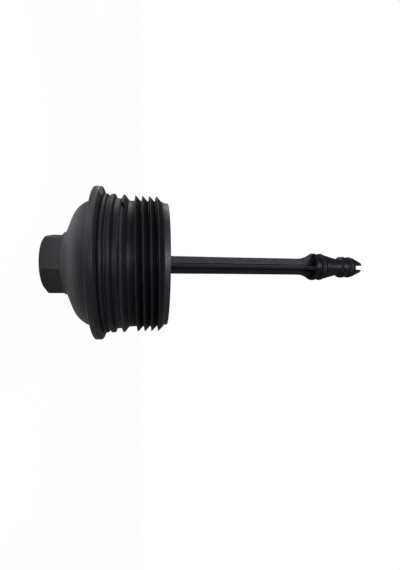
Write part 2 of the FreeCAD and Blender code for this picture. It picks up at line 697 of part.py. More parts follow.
# A rubber ring of round section, flattened on the inside where it lies on its groove's floor
def make_seal(doc, label, ring_radius, section, floor_radius, height, size):
    body = new_body(doc, label)
    seat = floor_radius + size.seal_gap
    flat = ring_radius.value - seat.value
    half_flat = math.sqrt((section.value / 2.0) ** 2 - flat ** 2)
    sketch = body.newObject("Sketcher::SketchObject", label + "_section")
    sketch.AttachmentSupport = [(origin_feature(body, "XZ_Plane"), "")]
    sketch.MapMode = "FlatFace"
    centre = FreeCAD.Vector(ring_radius.value, height.value, 0.0)
    circle = Part.Circle(centre, FreeCAD.Vector(0.0, 0.0, 1.0), section.value / 2.0)
    end_angle = math.atan2(half_flat, -flat)
    arc = sketch.addGeometry(Part.ArcOfCircle(circle, -end_angle, end_angle), False)
    top = FreeCAD.Vector(seat.value, height.value + half_flat, 0.0)
    bottom = FreeCAD.Vector(seat.value, height.value - half_flat, 0.0)
    inside = sketch.addGeometry(Part.LineSegment(top, bottom), False)
    sketch.addConstraint(Sketcher.Constraint("Coincident", arc, 2, inside, 1))
    sketch.addConstraint(Sketcher.Constraint("Coincident", inside, 2, arc, 1))
    sketch.addConstraint(Sketcher.Constraint("Vertical", inside))
    bind(sketch, Sketcher.Constraint("DistanceX", -1, 1, arc, 3, centre.x), "Middle", ring_radius)
    bind(sketch, Sketcher.Constraint("DistanceY", -1, 1, arc, 3, centre.y), "Height", height)
    bind(sketch, Sketcher.Constraint("Radius", arc, section.value / 2.0), "Section", section / 2.0)
    bind(sketch, Sketcher.Constraint("DistanceX", -1, 1, inside, 1, seat.value), "Seat", seat)
    if sketch.solve() != 0:
        raise ValueError("the section of %s can't be solved" % label)
    turned(body, sketch)
    return body


def make_seals(doc, size):
    cover_height = size.seal_groove_bottom + size.cover_seal_section / 2.0
    upper_middle = size.upper_groove_radius + size.stem_seal_section / 2.0
    tip_middle = size.tip_groove_radius + size.stem_seal_section / 2.0
    return [
        make_seal(doc, "cover_seal_ring", size.cover_seal_stretch, size.cover_seal_section,
                  size.seal_groove_radius, cover_height, size),
        make_seal(doc, "upper_stem_seal", upper_middle, size.stem_seal_section,
                  size.upper_groove_radius, size.upper_seal_height, size),
        make_seal(doc, "lower_stem_seal", tip_middle, size.stem_seal_section,
                  size.tip_groove_radius, size.tip_seal_height, size),
    ]


def check_document(doc, nodes):
    for thing in doc.Objects:
        if "Invalid" in thing.State or "Error" in thing.State:
            raise ValueError("%s failed: %s" % (thing.Name, thing.State))
    for node in nodes:
        if node.Shape.isNull() or not node.Shape.isValid():
            raise ValueError("the shape of %s isn't valid" % node.Label)
        if len(node.Shape.Solids) != 1:
            raise ValueError("%s has %d solids" % (node.Label, len(node.Shape.Solids)))


def main():
    os.makedirs("parts", exist_ok=True)
    doc = FreeCAD.newDocument("filter_housing_cap")
    size = make_sizes(doc)
    place_head(size)
    nodes = [make_cap(doc, size), make_stem(doc, size)] + make_seals(doc, size)
    doc.recompute()
    check_document(doc, nodes)
    for node in nodes:
        node.Shape.exportStep(os.path.join("parts", node.Label + ".step"))
        print("%s: %.1f mm3, %d faces" % (node.Label, node.Shape.Volume, len(node.Shape.Faces)))


main()
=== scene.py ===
import math
from collections import namedtuple

import bpy
from bpy.props import FloatProperty, FloatVectorProperty, IntProperty, PointerProperty
from mathutils import Matrix, Vector


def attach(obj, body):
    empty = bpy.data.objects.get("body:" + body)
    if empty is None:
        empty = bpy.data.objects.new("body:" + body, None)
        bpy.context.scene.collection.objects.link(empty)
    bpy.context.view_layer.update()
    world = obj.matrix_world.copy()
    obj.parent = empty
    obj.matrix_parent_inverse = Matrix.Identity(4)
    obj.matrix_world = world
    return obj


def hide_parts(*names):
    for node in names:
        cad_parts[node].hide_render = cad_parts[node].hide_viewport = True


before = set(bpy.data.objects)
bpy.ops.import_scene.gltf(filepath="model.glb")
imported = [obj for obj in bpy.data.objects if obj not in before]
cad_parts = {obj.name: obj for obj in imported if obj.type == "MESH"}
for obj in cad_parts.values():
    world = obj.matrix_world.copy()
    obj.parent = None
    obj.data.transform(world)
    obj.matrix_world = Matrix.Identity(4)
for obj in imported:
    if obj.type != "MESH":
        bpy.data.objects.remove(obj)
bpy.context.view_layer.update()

bl_info = {
    "name": "Filter Housing Cap",
    "version": (1, 0, 0),
    "blender": (4, 5, 0),
    "location": "View3D > Sidebar > Filter Cap",
    "description": "Builds an oil filter housing cap with its drain stem and seals",
    "category": "Mesh",
}

MM = 0.001
FULL_TURN = 2.0 * math.pi


def length(name, millimetres, description):
    """A length, given in millimetres and kept in metres."""
    return FloatProperty(
        name=name, description=description, default=millimetres * MM,
        precision=5, unit="LENGTH", subtype="DISTANCE",
    )


def direction(name, degrees, description):
    """An angle, given in degrees and kept in radians."""
    return FloatProperty(name=name, description=description, default=math.radians(degrees), subtype="ANGLE")


def number(name, value, description):
    """A plain number, such as turns or a share."""
    return FloatProperty(name=name, description=description, default=value, precision=3)


def colour(name, value, description):
    """A linear colour without alpha."""
    return FloatVectorProperty(
        name=name, description=description, default=value, size=3, min=0.0, max=1.0, subtype="COLOR"
    )


def steps(name, value, description):
    """A count of copies or of steps."""
    return IntProperty(name=name, description=description, default=value, min=3)


class HexagonSizes(bpy.types.PropertyGroup):
    """Sizes of the hexagon drive"""
    across_flats: length("Across flats", 32.0, "Width of the hexagon across its flats")
    height: length("Height", 11.0, "Height where the flats meet the neck")
    face_radius: length("Face radius", 15.5, "Radius of the flat end face inside the chamfer")
    chamfer_height: length("Chamfer height", 2.4, "Height where the chamfer reaches the corners")
    edge: length("Edge", 0.22, "Rounding of the hexagon's edges")
    neck_lap: length("Neck lap", 0.8, "Height by which the hexagon reaches up into the neck")


class ShellSizes(bpy.types.PropertyGroup):
    """Sizes of the cap's outside, from the neck to the rim"""
    neck_radius: length("Neck radius", 18.5, "Radius of the round neck")
    neck_top: length("Neck top", 12.0, "Height where the neck ends")
    dome_foot_radius: length("Dome foot radius", 19.6, "Radius where the dome begins")
    dome_foot_height: length("Dome foot height", 13.0, "Height where the dome begins")
    dome_edge_radius: length("Dome edge radius", 30.0, "Radius where the dome meets its shoulder")
    dome_edge_height: length("Dome edge height", 17.8, "Height where the dome meets its shoulder")
    shoulder_round: length("Shoulder round", 14.3, "Radius of the rounded shoulder")
    shoulder_radius: length("Shoulder radius", 37.0, "Radius at the top of the shoulder")
    shoulder_height: length("Shoulder height", 25.5, "Height of the top of the shoulder")
    flange_foot_radius: length("Flange foot radius", 37.4, "Radius where the flange leaves the shell")
    flange_foot_height: length("Flange foot height", 26.7, "Height where the flange leaves the shell")
    flange_radius: length("Flange radius", 45.25, "Outer radius of the flange")
    flange_underside: length("Flange underside", 29.1, "Height of the flange's lower edge")
    flange_rim: length("Flange rim", 32.6, "Height of the flange's upper edge")
    flange_slope_radius: length("Flange slope", 42.0, "Radius where the sloped face meets the seal groove")
    flange_round: length("Flange round", 0.7, "Rounding of the flange's edges")
    seal_groove_bottom: length("Seal groove bottom", 33.6, "Height of the seal groove's lower wall")
    seal_groove_width: length("Seal groove width", 3.15, "Width of the seal groove")
    seal_groove_radius: length("Seal groove radius", 38.35, "Radius of the seal groove's floor")
    lip_radius: length("Lip radius", 40.15, "Radius of the lip above the seal groove")
    lip_width: length("Lip width", 0.95, "Width of the lip")
    relief_radius: length("Relief radius", 39.6, "Radius of the fine relief groove's floor")
    relief_width: length("Relief width", 0.35, "Width of the fine relief groove")
    land_radius: length("Land radius", 41.3, "Radius of the guiding land")
    land_width: length("Land width", 1.85, "Width of the guiding land")
    land_run_off: length("Land run-off", 1.0, "Height over which the land slopes down")
    lower_groove_radius: length("Lower groove radius", 38.95, "Radius of the lower groove's floor")
    lower_groove_top: length("Lower groove top", 43.7, "Height where the lower groove ends")
    ridge_radius: length("Ridge radius", 41.2, "Radius of the ridge before the thread")
    ridge_rise: length("Ridge rise", 1.0, "Height over which the ridge rises")
    ridge_crest: length("Ridge crest", 0.7, "Width of the ridge's crest")
    ridge_run_off: length("Ridge run-off", 2.6, "Height over which the ridge falls")
    root_radius: length("Root radius", 37.9, "Radius of the thread's root")
    skirt_foot: length("Skirt foot", 66.7, "Height where the skirt begins to taper")
    skirt_radius: length("Skirt radius", 37.2, "Outer radius at the rim")
    skirt_height: length("Skirt height", 68.6, "Height where the taper ends")
    rim_height: length("Rim height", 70.3, "Height of the rim")
    edge: length("Edge", 0.16, "Rounding of the moulding's small edges")
    neck_edge: length("Neck edge", 0.4, "Rounding where the neck ends")
    dome_foot_edge: length("Dome foot edge", 0.6, "Rounding where the dome begins")
    flange_foot_edge: length("Flange foot edge", 0.9, "Rounding where the flange leaves the shell")
    skirt_edge: length("Skirt edge", 1.0, "Rounding at both ends of the skirt's taper")
    rim_edge: length("Rim edge", 0.4, "Rounding of the rim's outer edge")


class ThreadSizes(bpy.types.PropertyGroup):
    """Sizes of the buttress thread"""
    pitch: length("Pitch", 4.0, "Pitch of the single right-hand start")
    crest_radius: length("Crest radius", 40.85, "Radius of the crest")
    crest_width: length("Crest width", 0.4, "Width of the crest")
    load_rise: length("Load flank", 0.47, "Height of the steep flank that faces the hexagon")
    clear_rise: length("Clear flank", 2.8, "Height of the sloped flank that faces the mouth")
    first_crest: length("First crest", 51.03, "Height of the crest where the thread is first at full depth")
    first_angle: direction("First angle", 150.0, "Angle where the thread is first at full depth")
    full_turns: number("Full turns", 3.583, "Turns at full depth")
    run_in: number("Run-in", 0.5, "Turns over which the thread rises")
    run_out: number("Run-out", 0.3, "Turns over which the thread sinks away")
    bury: length("Bury", 0.25, "Depth of the ridge's foot below the root")
    sink: length("Sink", 0.05, "Depth of the crest below the root where it has sunk away")
    edge: length("Edge", 0.12, "Rounding of the crest's edges")


class InsideSizes(bpy.types.PropertyGroup):
    """Sizes of the cavity, the element's seat and the stem's socket"""
    end_wall: length("End wall", 4.0, "Thickness of the hexagon's end wall")
    bore_radius: length("Bore radius", 34.3, "Inner radius of the cap")
    bore_foot: length("Bore foot", 30.0, "Height where the bore begins to follow the shoulder")
    wall: length("Wall", 3.4, "Wall thickness of the dome")
    dome_step: length("Dome step", 1.428, "Radius by which the dome turns earlier inside than outside")
    shoulder_rise: length("Shoulder rise", 0.5, "Height by which the shoulder ends later inside than outside")
    bore_edge: length("Bore edge", 2.0, "Rounding where the bore meets the shoulder")
    mouth_edge: length("Mouth edge", 0.3, "Chamfer of the rim's inner edge")
    floor_height: length("Floor height", 16.0, "Height of the flat floor")
    floor_radius: length("Floor radius", 19.0, "Radius of the flat floor")
    floor_edge: length("Floor edge", 1.0, "Rounding round the flat floor")
    core_radius: length("Core radius", 11.5, "Radius of the hollow in the hexagon")
    core_edge: length("Core edge", 0.8, "Rounding of the hollow's bottom")
    core_lip: length("Core lip", 0.4, "Rounding of the hollow's upper edge")
    spigot_radius: length("Spigot radius", 18.0, "Outer radius of the element spigot")
    spigot_wall: length("Spigot wall", 1.8, "Wall of the spigot")
    spigot_top: length("Spigot top", 30.0, "Height of the spigot")
    spigot_lead: length("Spigot lead", 0.8, "Chamfer at the spigot's top")
    spigot_foot: length("Spigot foot", 18.6, "Outer radius of the spigot's foot, flush with the ribs")
    rib_count: steps("Ribs", 6, "Number of radial ribs")
    rib_thickness: length("Rib thickness", 1.8, "Thickness of a rib")
    rib_top: length("Rib top", 25.5, "Height of the ribs' seats")
    rib_bury: length("Rib bury", 0.34, "Depth by which a rib's outer end reaches into the wall")
    rib_end_drop: length("Rib end drop", 1.02, "Height of a rib's outer end below the top of the shoulder")
    socket_radius: length("Socket radius", 5.0, "Outer radius of the pivot socket")
    socket_bore: length("Socket bore", 3.1, "Radius of the socket's bore")
    socket_drop: length("Socket drop", 0.5, "Depth of the socket's top below the floor")
    web_count: steps("Webs", 4, "Number of webs round the socket")
    web_thickness: length("Web thickness", 1.6, "Thickness of a web")
    finger_count: steps("Fingers", 6, "Number of snap fingers")
    finger_inner: length("Finger radius", 12.4, "Inner radius of the fingers")
    finger_thickness: length("Finger thickness", 1.6, "Thickness of a finger")
    finger_gap: length("Finger gap", 3.4, "Slot between two fingers")
    barb_height: length("Barb height", 19.4, "Height of the barbs' undersides")
    barb_radius: length("Barb radius", 11.0, "Inner radius of the barbs")
    barb_face: length("Barb face", 1.04, "Height of the barbs' straight inner face")
    barb_edge: length("Barb edge", 0.1, "Rounding of the barbs' lower edge")
    finger_top: length("Finger top", 22.0, "Height of the fingers")
    lead_edge: length("Lead edge", 0.2, "Rounding of the lead-in slopes")
    edge: length("Edge", 0.3, "Rounding of the upper edges inside")


class StemSizes(bpy.types.PropertyGroup):
    """Sizes of the stem's foot and of its ribbed shaft"""
    turn: direction("Turn", -5.0, "Angle at which the stem stands at rest")
    foot_bottom: length("Foot bottom", 16.1, "Height of the foot's underside")
    foot_top: length("Foot top", 19.1, "Height of the foot's upper face")
    foot_radius: length("Foot radius", 12.3, "Radius of the foot")
    foot_edge: length("Foot edge", 0.6, "Chamfer of the foot's upper edge")
    pivot_radius: length("Pivot radius", 3.0, "Radius of the pivot pin")
    pivot_length: length("Pivot length", 8.5, "Length of the pivot pin")
    pivot_lead: length("Pivot lead", 0.6, "Chamfer of the pivot pin's end")
    rib_thickness: length("Rib thickness", 2.45, "Thickness of the four ribs")
    rib_fillet: length("Rib fillet", 0.8, "Fillet between the ribs")
    gusset_radius: length("Gusset radius", 10.6, "Reach of the ribs on the foot")
    gusset_height: length("Gusset height", 24.0, "Height over which the ribs narrow")
    gusset_round: length("Gusset round", 60.0, "Radius of the narrowing's hollow curve")
    radius: length("Radius", 5.6, "Reach of the ribs above the narrowing")
    slim_radius: length("Slim radius", 5.35, "Reach of the ribs in the slimmest part")
    slim_height: length("Slim height", 112.0, "Height where the slimmest part begins")
    flare_foot: length("Flare foot", 157.2, "Height where the ribs begin to widen")
    flare_round: length("Flare round", 14.1, "Radius of the widening's hollow curve")
    flare_radius: length("Flare radius", 8.6, "Reach of the ribs under the collar")
    flare_height: length("Flare height", 166.2, "Height where the ribs reach that far")
    edge: length("Edge", 0.2, "Rounding of the stem's edges")


class HeadSizes(bpy.types.PropertyGroup):
    """Sizes of the stem's two collars, its seal grooves and its forked tip"""
    collar_height: length("Collar height", 167.1, "Height of the upper collar's lower face")
    collar_radius: length("Collar radius", 9.0, "Radius of the upper collar")
    collar_width: length("Collar width", 1.8, "Width of the upper collar")
    collar_slope: length("Collar slope", 0.9, "Height of the step behind the upper collar")
    body_radius: length("Body radius", 7.95, "Radius of the body round the upper seal")
    body_top: length("Body top", 175.7, "Height where that body ends")
    groove_radius: length("Groove radius", 5.35, "Radius of the upper seal groove's floor")
    groove_width: length("Groove width", 4.2, "Width of the upper seal groove")
    seal_height: length("Seal height", 173.0, "Height of the upper seal's middle")
    step_radius: length("Step radius", 7.45, "Radius below the step")
    step_height: length("Step height", 177.8, "Height of the step")
    cone_radius: length("Cone radius", 7.15, "Radius where the smooth cone begins")
    cone_height: length("Cone height", 178.7, "Height where the smooth cone begins")
    cone_top_radius: length("Cone top radius", 5.6, "Radius where the smooth cone ends")
    cone_top: length("Cone top", 184.7, "Height where the smooth cone ends")
    tip_collar_foot: length("Tip collar foot", 185.9, "Height where the second collar begins to rise")
    tip_collar_height: length("Tip collar height", 187.7, "Height where the second collar is full")
    tip_collar_radius: length("Tip collar radius", 7.1, "Radius of the second collar")
    tip_collar_width: length("Tip collar width", 2.4, "Width of the second collar")
    tip_collar_slope: length("Tip collar slope", 1.4, "Height of the step behind it")
    tip_body_radius: length("Tip body radius", 6.4, "Radius of the body round the second seal")
    tip_seal_height: length("Tip seal height", 194.0, "Height of the second seal's middle")
    tip_groove_width: length("Tip groove width", 4.0, "Width of the second seal groove")
    tip_groove_radius: length("Tip groove radius", 3.45, "Radius of the second seal groove's floor")
    tip_shoulder_radius: length("Tip shoulder radius", 6.5, "Radius where the tip begins to taper")
    tip_shoulder: length("Tip shoulder", 196.3, "Height where the tip begins to taper")
    tip_edge: length("Tip edge", 0.3, "Chamfer of the tip's end")
    tip_end_radius: length("Tip end radius", 3.5, "Radius at the end of the tip")
    tip_end: length("Tip end", 202.6, "Height of the end of the tip")
    fork_width: length("Fork width", 3.0, "Width of the slot in the tip")
    fork_depth: length("Fork depth", 6.4, "Depth of that slot")
    edge: length("Edge", 0.2, "Rounding of the head's small edges")


class SealSizes(bpy.types.PropertyGroup):
    """Sizes of the three rubber seals"""
    cover_section: length("Cover section", 3.0, "Section diameter of the cover seal")
    cover_radius: length("Cover radius", 39.85, "Radius of the cover seal to its section's middle")
    stem_section: length("Stem section", 3.6, "Section diameter of the stem's seals")
    seal_gap: length("Gap", 0.1, "Gap between a seal and its groove's floor")


class RoundSteps(bpy.types.PropertyGroup):
    """How finely the round forms are divided"""
    shell: steps("Shell", 192, "Steps round the shell, the cavity and the hexagon's chamfer")
    thread: steps("Thread", 144, "Steps in one turn of the thread")
    spigot: steps("Spigot", 128, "Steps round the element spigot")
    fingers: steps("Fingers", 96, "Steps round the ring of fingers")
    socket: steps("Socket", 64, "Steps round the pivot socket")
    stem: steps("Stem", 96, "Steps round the stem's head and foot")
    seal: steps("Seal", 160, "Steps round a seal")
    seal_section: steps("Seal section", 28, "Steps round a seal's section")
    shoulder: steps("Shoulder", 14, "Steps of the shoulder's arc")
    inner_shoulder: steps("Inner shoulder", 10, "Steps of the arc inside the shoulder")
    hollow: steps("Hollow curves", 12, "Steps of the hollow curves of the stem's ribs")
    gusset: steps("Gusset levels", 10, "Levels at which the ribs narrow above the foot")
    shaft: steps("Shaft levels", 3, "Levels in the plain part of the shaft")
    flare: steps("Flare levels", 12, "Levels at which the ribs widen below the collar")


class FinishColours(bpy.types.PropertyGroup):
    """Colours of the mouldings, of their marks, of painted shade and highlights, and of the rubber"""
    hexagon: colour("Hexagon", (0.021, 0.0165, 0.0185), "Moulded plastic of the hexagon, a brownish black")
    dome: colour("Dome", (0.072, 0.076, 0.073), "Duller, greyer plastic of the dome")
    cap: colour("Cap", (0.0110, 0.0088, 0.0122), "Near-black plastic of the flange and thread")
    # Painted shade: the thread's flanks are darkened in colour where shade falls between the crests
    shaded_flanks: colour("Flanks", (0.0052, 0.0045, 0.006), "Oil-dark plastic between the thread's crests")
    # Painted highlight: a paler colour on the skirt's end and the flange's slope that stands for their
    # highlights
    bright: colour("Bright", (0.022, 0.020, 0.026), "Smoother plastic of the skirt and the flange's slope")
    # Painted sheen: a paler colour on the crests that stands for their highlights
    crest_sheen: colour("Worn edge", (0.036, 0.035, 0.040), "Paler plastic on rubbed crests")
    stem: colour("Stem", (0.0100, 0.0083, 0.0122), "Near-black plastic of the stem")
    # Painted shade: the dark colour of the pit and the nick stands for the shade in their hollows, which are
    # not modelled
    pit_shade: colour("Pit", (0.002, 0.002, 0.002), "Dark bottom of the pit in the ridge")
    # Painted highlight and a scuff: the two pale patches on the flange's edge stand for a sheen, the one
    # below the ridge is a scuff
    scuff_and_sheen: colour("Scuff", (0.22, 0.21, 0.19), "Pale scuffs on the flange's edge and below the ridge")
    rubber: colour("Rubber", (0.011, 0.010, 0.012), "Black rubber of the seals")


class StageSettings(bpy.types.PropertyGroup):
    """Floor, surroundings and ambient light"""
    floor_size: length("Floor", 6000.0, "Width of the floor")
    floor_colour: colour("Floor colour", (0.82, 0.82, 0.82), "Pale floor under the cap")
    floor_roughness: number("Floor roughness", 0.9, "Roughness of the floor")
    floor_white: number("Floor white", 0.985, "Share of plain white that the camera sees on the floor")
    mirrored_share: number("Mirrored white", 0.05, "Share of the white surroundings that reflections show")
    ambient_colour: colour("Ambient colour", (0.9, 0.95, 1.0), "Tint of the light from all round")
    ambient_strength: number("Ambient strength", 0.1, "Strength of the light from all round")


SIZE_GROUPS = {
    "cap_hexagon": HexagonSizes,
    "cap_shell": ShellSizes,
    "cap_thread": ThreadSizes,
    "cap_inside": InsideSizes,
    "cap_stem": StemSizes,
    "cap_head": HeadSizes,
    "cap_seals": SealSizes,
    "cap_steps": RoundSteps,
    "cap_colours": FinishColours,
    "cap_stage": StageSettings,
}


# Modelling limits: steps of a rounded corner, the most of a side that it may take, and merging distances
EDGE_STEPS = 3
SIDE_SHARE = 0.45
OUTLINE_MERGE = 0.001 * MM
SPIN_MERGE = 0.002 * MM
BEVEL_MERGE = 0.01 * MM

# How far a cutter reaches past what it cuts, and the height that keeps two level faces apart
CUTTER_SHARE = 1.1
FLUSH_GAP = 0.01 * MM

# Edges sharper than these angles stay sharp in the shading
SHARP_ABOVE = math.radians(28.0)
STEM_SHARP_ABOVE = math.radians(14.0)
BEVEL_ABOVE = math.radians(20.0)


# Outlines in the plane of radius and height

def outline(*pairs):
    """Points from pairs of radius and height."""
    return [Vector(pair) for pair in pairs]


def rectangle(left, right, bottom, top):
    """The four corners of an upright rectangle."""
    return outline((left, bottom), (right, bottom), (right, top), (left, top))


def sharp(*points):
    """Corners without a round from points."""
    return [(point.x, point.y, 0.0) for point in points]


def arc_points(first, last, radius, bulge, count):
    """Points between two corners on an arc that bulges to the left or right of the way."""
    along = last - first
    left = Vector((-along.y, along.x)).normalized()
    rise = math.sqrt(radius ** 2 - (along.length / 2.0) ** 2)
    centre = (first + last) / 2.0 + left * (rise if bulge == "right" else -rise)
    start = math.atan2(first.y - centre.y, first.x - centre.x)
    sweep = math.atan2(last.y - centre.y, last.x - centre.x) - start
    sweep = (sweep + math.pi) % FULL_TURN - math.pi
    angles = [start + sweep * step / count for step in range(1, count)]
    return [centre + Vector((math.cos(angle), math.sin(angle))) * radius for angle in angles]


def eased(corners):
    """Replaces each corner (radius, height, round) that has a round by a short tangent curve."""
    points = []
    for index, (across, up, ease) in enumerate(corners):
        here = Vector((across, up))
        if ease <= 0.0:
            points.append(here)
            continue
        before = Vector(corners[index - 1][:2]) - here
        after = Vector(corners[(index + 1) % len(corners)][:2]) - here
        half = before.angle(after) / 2.0
        reach = min(ease / math.tan(half), before.length * SIDE_SHARE, after.length * SIDE_SHARE)
        start = here + before.normalized() * reach
        end = here + after.normalized() * reach
        for step in range(EDGE_STEPS + 1):
            share = step / EDGE_STEPS
            points.append(start * (1 - share) ** 2 + here * 2 * share * (1 - share) + end * share ** 2)
    return points


# Modelling helpers

def only(obj):
    """Makes one object the only selected one."""
    bpy.ops.object.select_all(action="DESELECT")
    obj.select_set(True)
    bpy.context.view_layer.objects.active = obj


def open_edit(obj):
    """Opens a piece in edit mode with all of it selected."""
    only(obj)
    bpy.ops.object.mode_set(mode="EDIT")
    bpy.ops.mesh.select_all(action="SELECT")


def merge_points(distance):
    """Merges the points of the piece in edit mode that lie within a distance."""
    bpy.ops.mesh.select_all(action="SELECT")
    bpy.ops.mesh.remove_doubles(threshold=distance)


def turn_outward():
    """Turns all faces of the piece in edit mode outwards."""
    bpy.ops.mesh.select_all(action="SELECT")
    bpy.ops.mesh.normals_make_consistent(inside=False)


def leave_edit():
    bpy.ops.object.mode_set(mode="OBJECT")


def extrude_by(move):
    """Extrudes what is selected by a move."""
    bpy.ops.mesh.extrude_region_move(TRANSFORM_OT_translate={"value": move})


def apply_modifiers(obj):
    """Applies a piece's modifiers in their order."""
    only(obj)
    for modifier in list(obj.modifiers):
        bpy.ops.object.modifier_apply(modifier=modifier.name)


def drawn_outline(name, points, closed=True):
    """A wire drawn point by point in the plane of X and Z by extruding a single vertex."""
    bpy.ops.object.select_all(action="DESELECT")
    bpy.ops.mesh.primitive_plane_add(size=MM)
    obj = bpy.context.object
    obj.name = name
    open_edit(obj)
    bpy.ops.mesh.merge(type="CENTER")
    bpy.ops.transform.translate(value=(points[0].x, 0.0, points[0].y))
    route = points + (points[:1] if closed else [])
    for here, there in zip(route, route[1:]):
        extrude_by((there.x - here.x, 0.0, there.y - here.y))
    merge_points(OUTLINE_MERGE)
    leave_edit()
    return obj


def spun(name, points, steps_round):
    """A turned solid: an outline spun once round the Z axis, left open along the axis itself."""
    obj = drawn_outline(name, points, closed=points[0].x > 0.0)
    open_edit(obj)
    bpy.ops.mesh.spin(steps=steps_round, angle=FULL_TURN, center=(0.0, 0.0, 0.0), axis=(0.0, 0.0, 1.0))
    merge_points(SPIN_MERGE)
    turn_outward()
    leave_edit()
    return obj


def slab(name, points, thickness):
    """A plate: an outline in the plane of X and Z given a thickness along Y."""
    obj = drawn_outline(name, points)
    open_edit(obj)
    bpy.ops.mesh.edge_face_add()
    bpy.ops.transform.translate(value=(0.0, -thickness / 2.0, 0.0))
    extrude_by((0.0, thickness, 0.0))
    turn_outward()
    leave_edit()
    return obj


def turned_copies(obj, count):
    """Joins copies of an object turned round the Z axis into one object."""
    copies = [obj]
    for index in range(1, count):
        copy = obj.copy()
        copy.data = obj.data.copy()
        bpy.context.collection.objects.link(copy)
        copy.data.transform(Matrix.Rotation(FULL_TURN * index / count, 4, "Z"))
        copies.append(copy)
    bpy.ops.object.select_all(action="DESELECT")
    for copy in copies:
        copy.select_set(True)
    bpy.context.view_layer.objects.active = obj
    bpy.ops.object.join()
    return bpy.context.object


def combine(piece, other, operation):
    """Joins, cuts or intersects a piece with another, which is used up."""
    modifier = piece.modifiers.new("combine", "BOOLEAN")
    modifier.operation = operation
    modifier.object = other
    modifier.solver = "EXACT"
    apply_modifiers(piece)
    bpy.data.objects.remove(other)
    open_edit(piece)
    bpy.ops.mesh.quads_convert_to_tris(quad_method="BEAUTY", ngon_method="BEAUTY")
    leave_edit()
    return piece


def finished(obj, body, material, sharp_above=SHARP_ABOVE):
    """Gives a piece its material, shades it smooth by angle, and lets it ride on its body."""
    obj.data.materials.clear()
    obj.data.materials.append(material)
    only(obj)
    bpy.ops.object.shade_smooth_by_angle(angle=sharp_above)
    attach(obj, body)
    return obj


# The cap's outlines

def shell_outline(scene):
    """The solid cap from its neck to the rim, before the thread and the cavity."""
    size = scene.cap_shell
    neck_foot = scene.cap_hexagon.height
    edge = size.edge
    fine_edge = edge / 2.0
    land_edge = edge * 2.0
    groove_edge = edge * 3.0
    root_edge = edge * 4.0
    groove_top = size.seal_groove_bottom + size.seal_groove_width
    lip_top = groove_top + size.lip_width
    land_bottom = lip_top + size.relief_width
    land_top = land_bottom + size.land_width
    ridge_foot = size.lower_groove_top + size.ridge_rise
    ridge_top = ridge_foot + size.ridge_crest
    dome_edge = Vector((size.dome_edge_radius, size.dome_edge_height))
    shoulder = Vector((size.shoulder_radius, size.shoulder_height))
    arc = arc_points(dome_edge, shoulder, size.shoulder_round, "right", scene.cap_steps.shoulder)
    dome = [
        (0.0, neck_foot, 0.0),
        (size.neck_radius, neck_foot, 0.0),
        (size.neck_radius, size.neck_top, size.neck_edge),
        (size.dome_foot_radius, size.dome_foot_height, size.dome_foot_edge),
    ]
    flange_and_land = [
        (size.flange_foot_radius, size.flange_foot_height, size.flange_foot_edge),
        (size.flange_radius, size.flange_underside, size.flange_round),
        (size.flange_radius, size.flange_rim, size.flange_round),
        (size.flange_slope_radius, size.seal_groove_bottom, edge),
        (size.seal_groove_radius, size.seal_groove_bottom, edge),
        (size.seal_groove_radius, groove_top, edge),
        (size.lip_radius, groove_top, edge),
        (size.lip_radius, lip_top, fine_edge),
        (size.relief_radius, lip_top, fine_edge),
        (size.relief_radius, land_bottom, fine_edge),
        (size.land_radius, land_bottom, land_edge),
        (size.land_radius, land_top, land_edge),
    ]
    ridge_and_skirt = [
        (size.lower_groove_radius, land_top + size.land_run_off, groove_edge),
        (size.lower_groove_radius, size.lower_groove_top, groove_edge),
        (size.ridge_radius, ridge_foot, land_edge),
        (size.ridge_radius, ridge_top, land_edge),
        (size.root_radius, ridge_top + size.ridge_run_off, root_edge),
        (size.root_radius, size.skirt_foot, size.skirt_edge),
        (size.skirt_radius, size.skirt_height, size.skirt_edge),
        (size.skirt_radius, size.rim_height, size.rim_edge),
        (0.0, size.rim_height, 0.0),
    ]
    return eased(dome + sharp(dome_edge, *arc, shoulder) + flange_and_land + ridge_and_skirt)


def cavity_outline(scene):
    """What is cut out of the solid cap: the bore, the inside of the dome and the hollow core."""
    shell = scene.cap_shell
    inside = scene.cap_inside
    beyond = shell.rim_height + MM
    rise = shell.dome_edge_height - shell.dome_foot_height
    slope = rise / (shell.dome_edge_radius - shell.dome_foot_radius)
    edge_radius = shell.dome_edge_radius - inside.dome_step
    dome_edge = Vector((edge_radius, inside.floor_height + slope * (edge_radius - inside.floor_radius)))
    shoulder = Vector((shell.shoulder_radius - inside.wall, shell.shoulder_height + inside.shoulder_rise))
    inner_round = shell.shoulder_round - inside.wall
    arc = arc_points(dome_edge, shoulder, inner_round, "right", scene.cap_steps.inner_shoulder)
    core = [
        (0.0, inside.end_wall, 0.0),
        (inside.core_radius, inside.end_wall, inside.core_edge),
        (inside.core_radius, inside.floor_height, inside.core_lip),
        (inside.floor_radius, inside.floor_height, inside.floor_edge),
    ]
    bore = [
        (inside.bore_radius, inside.bore_foot, inside.bore_edge),
        (inside.bore_radius, shell.rim_height - inside.mouth_edge, 0.0),
        (inside.bore_radius + inside.mouth_edge + MM, beyond, 0.0),
        (0.0, beyond, 0.0),
    ]
    return eased(core + sharp(dome_edge, *arc, shoulder) + bore)


# The cap's parts

def make_shell(scene):
    """The cap's turned outside, still solid."""
    return spun("cap_moulding", shell_outline(scene), scene.cap_steps.shell)


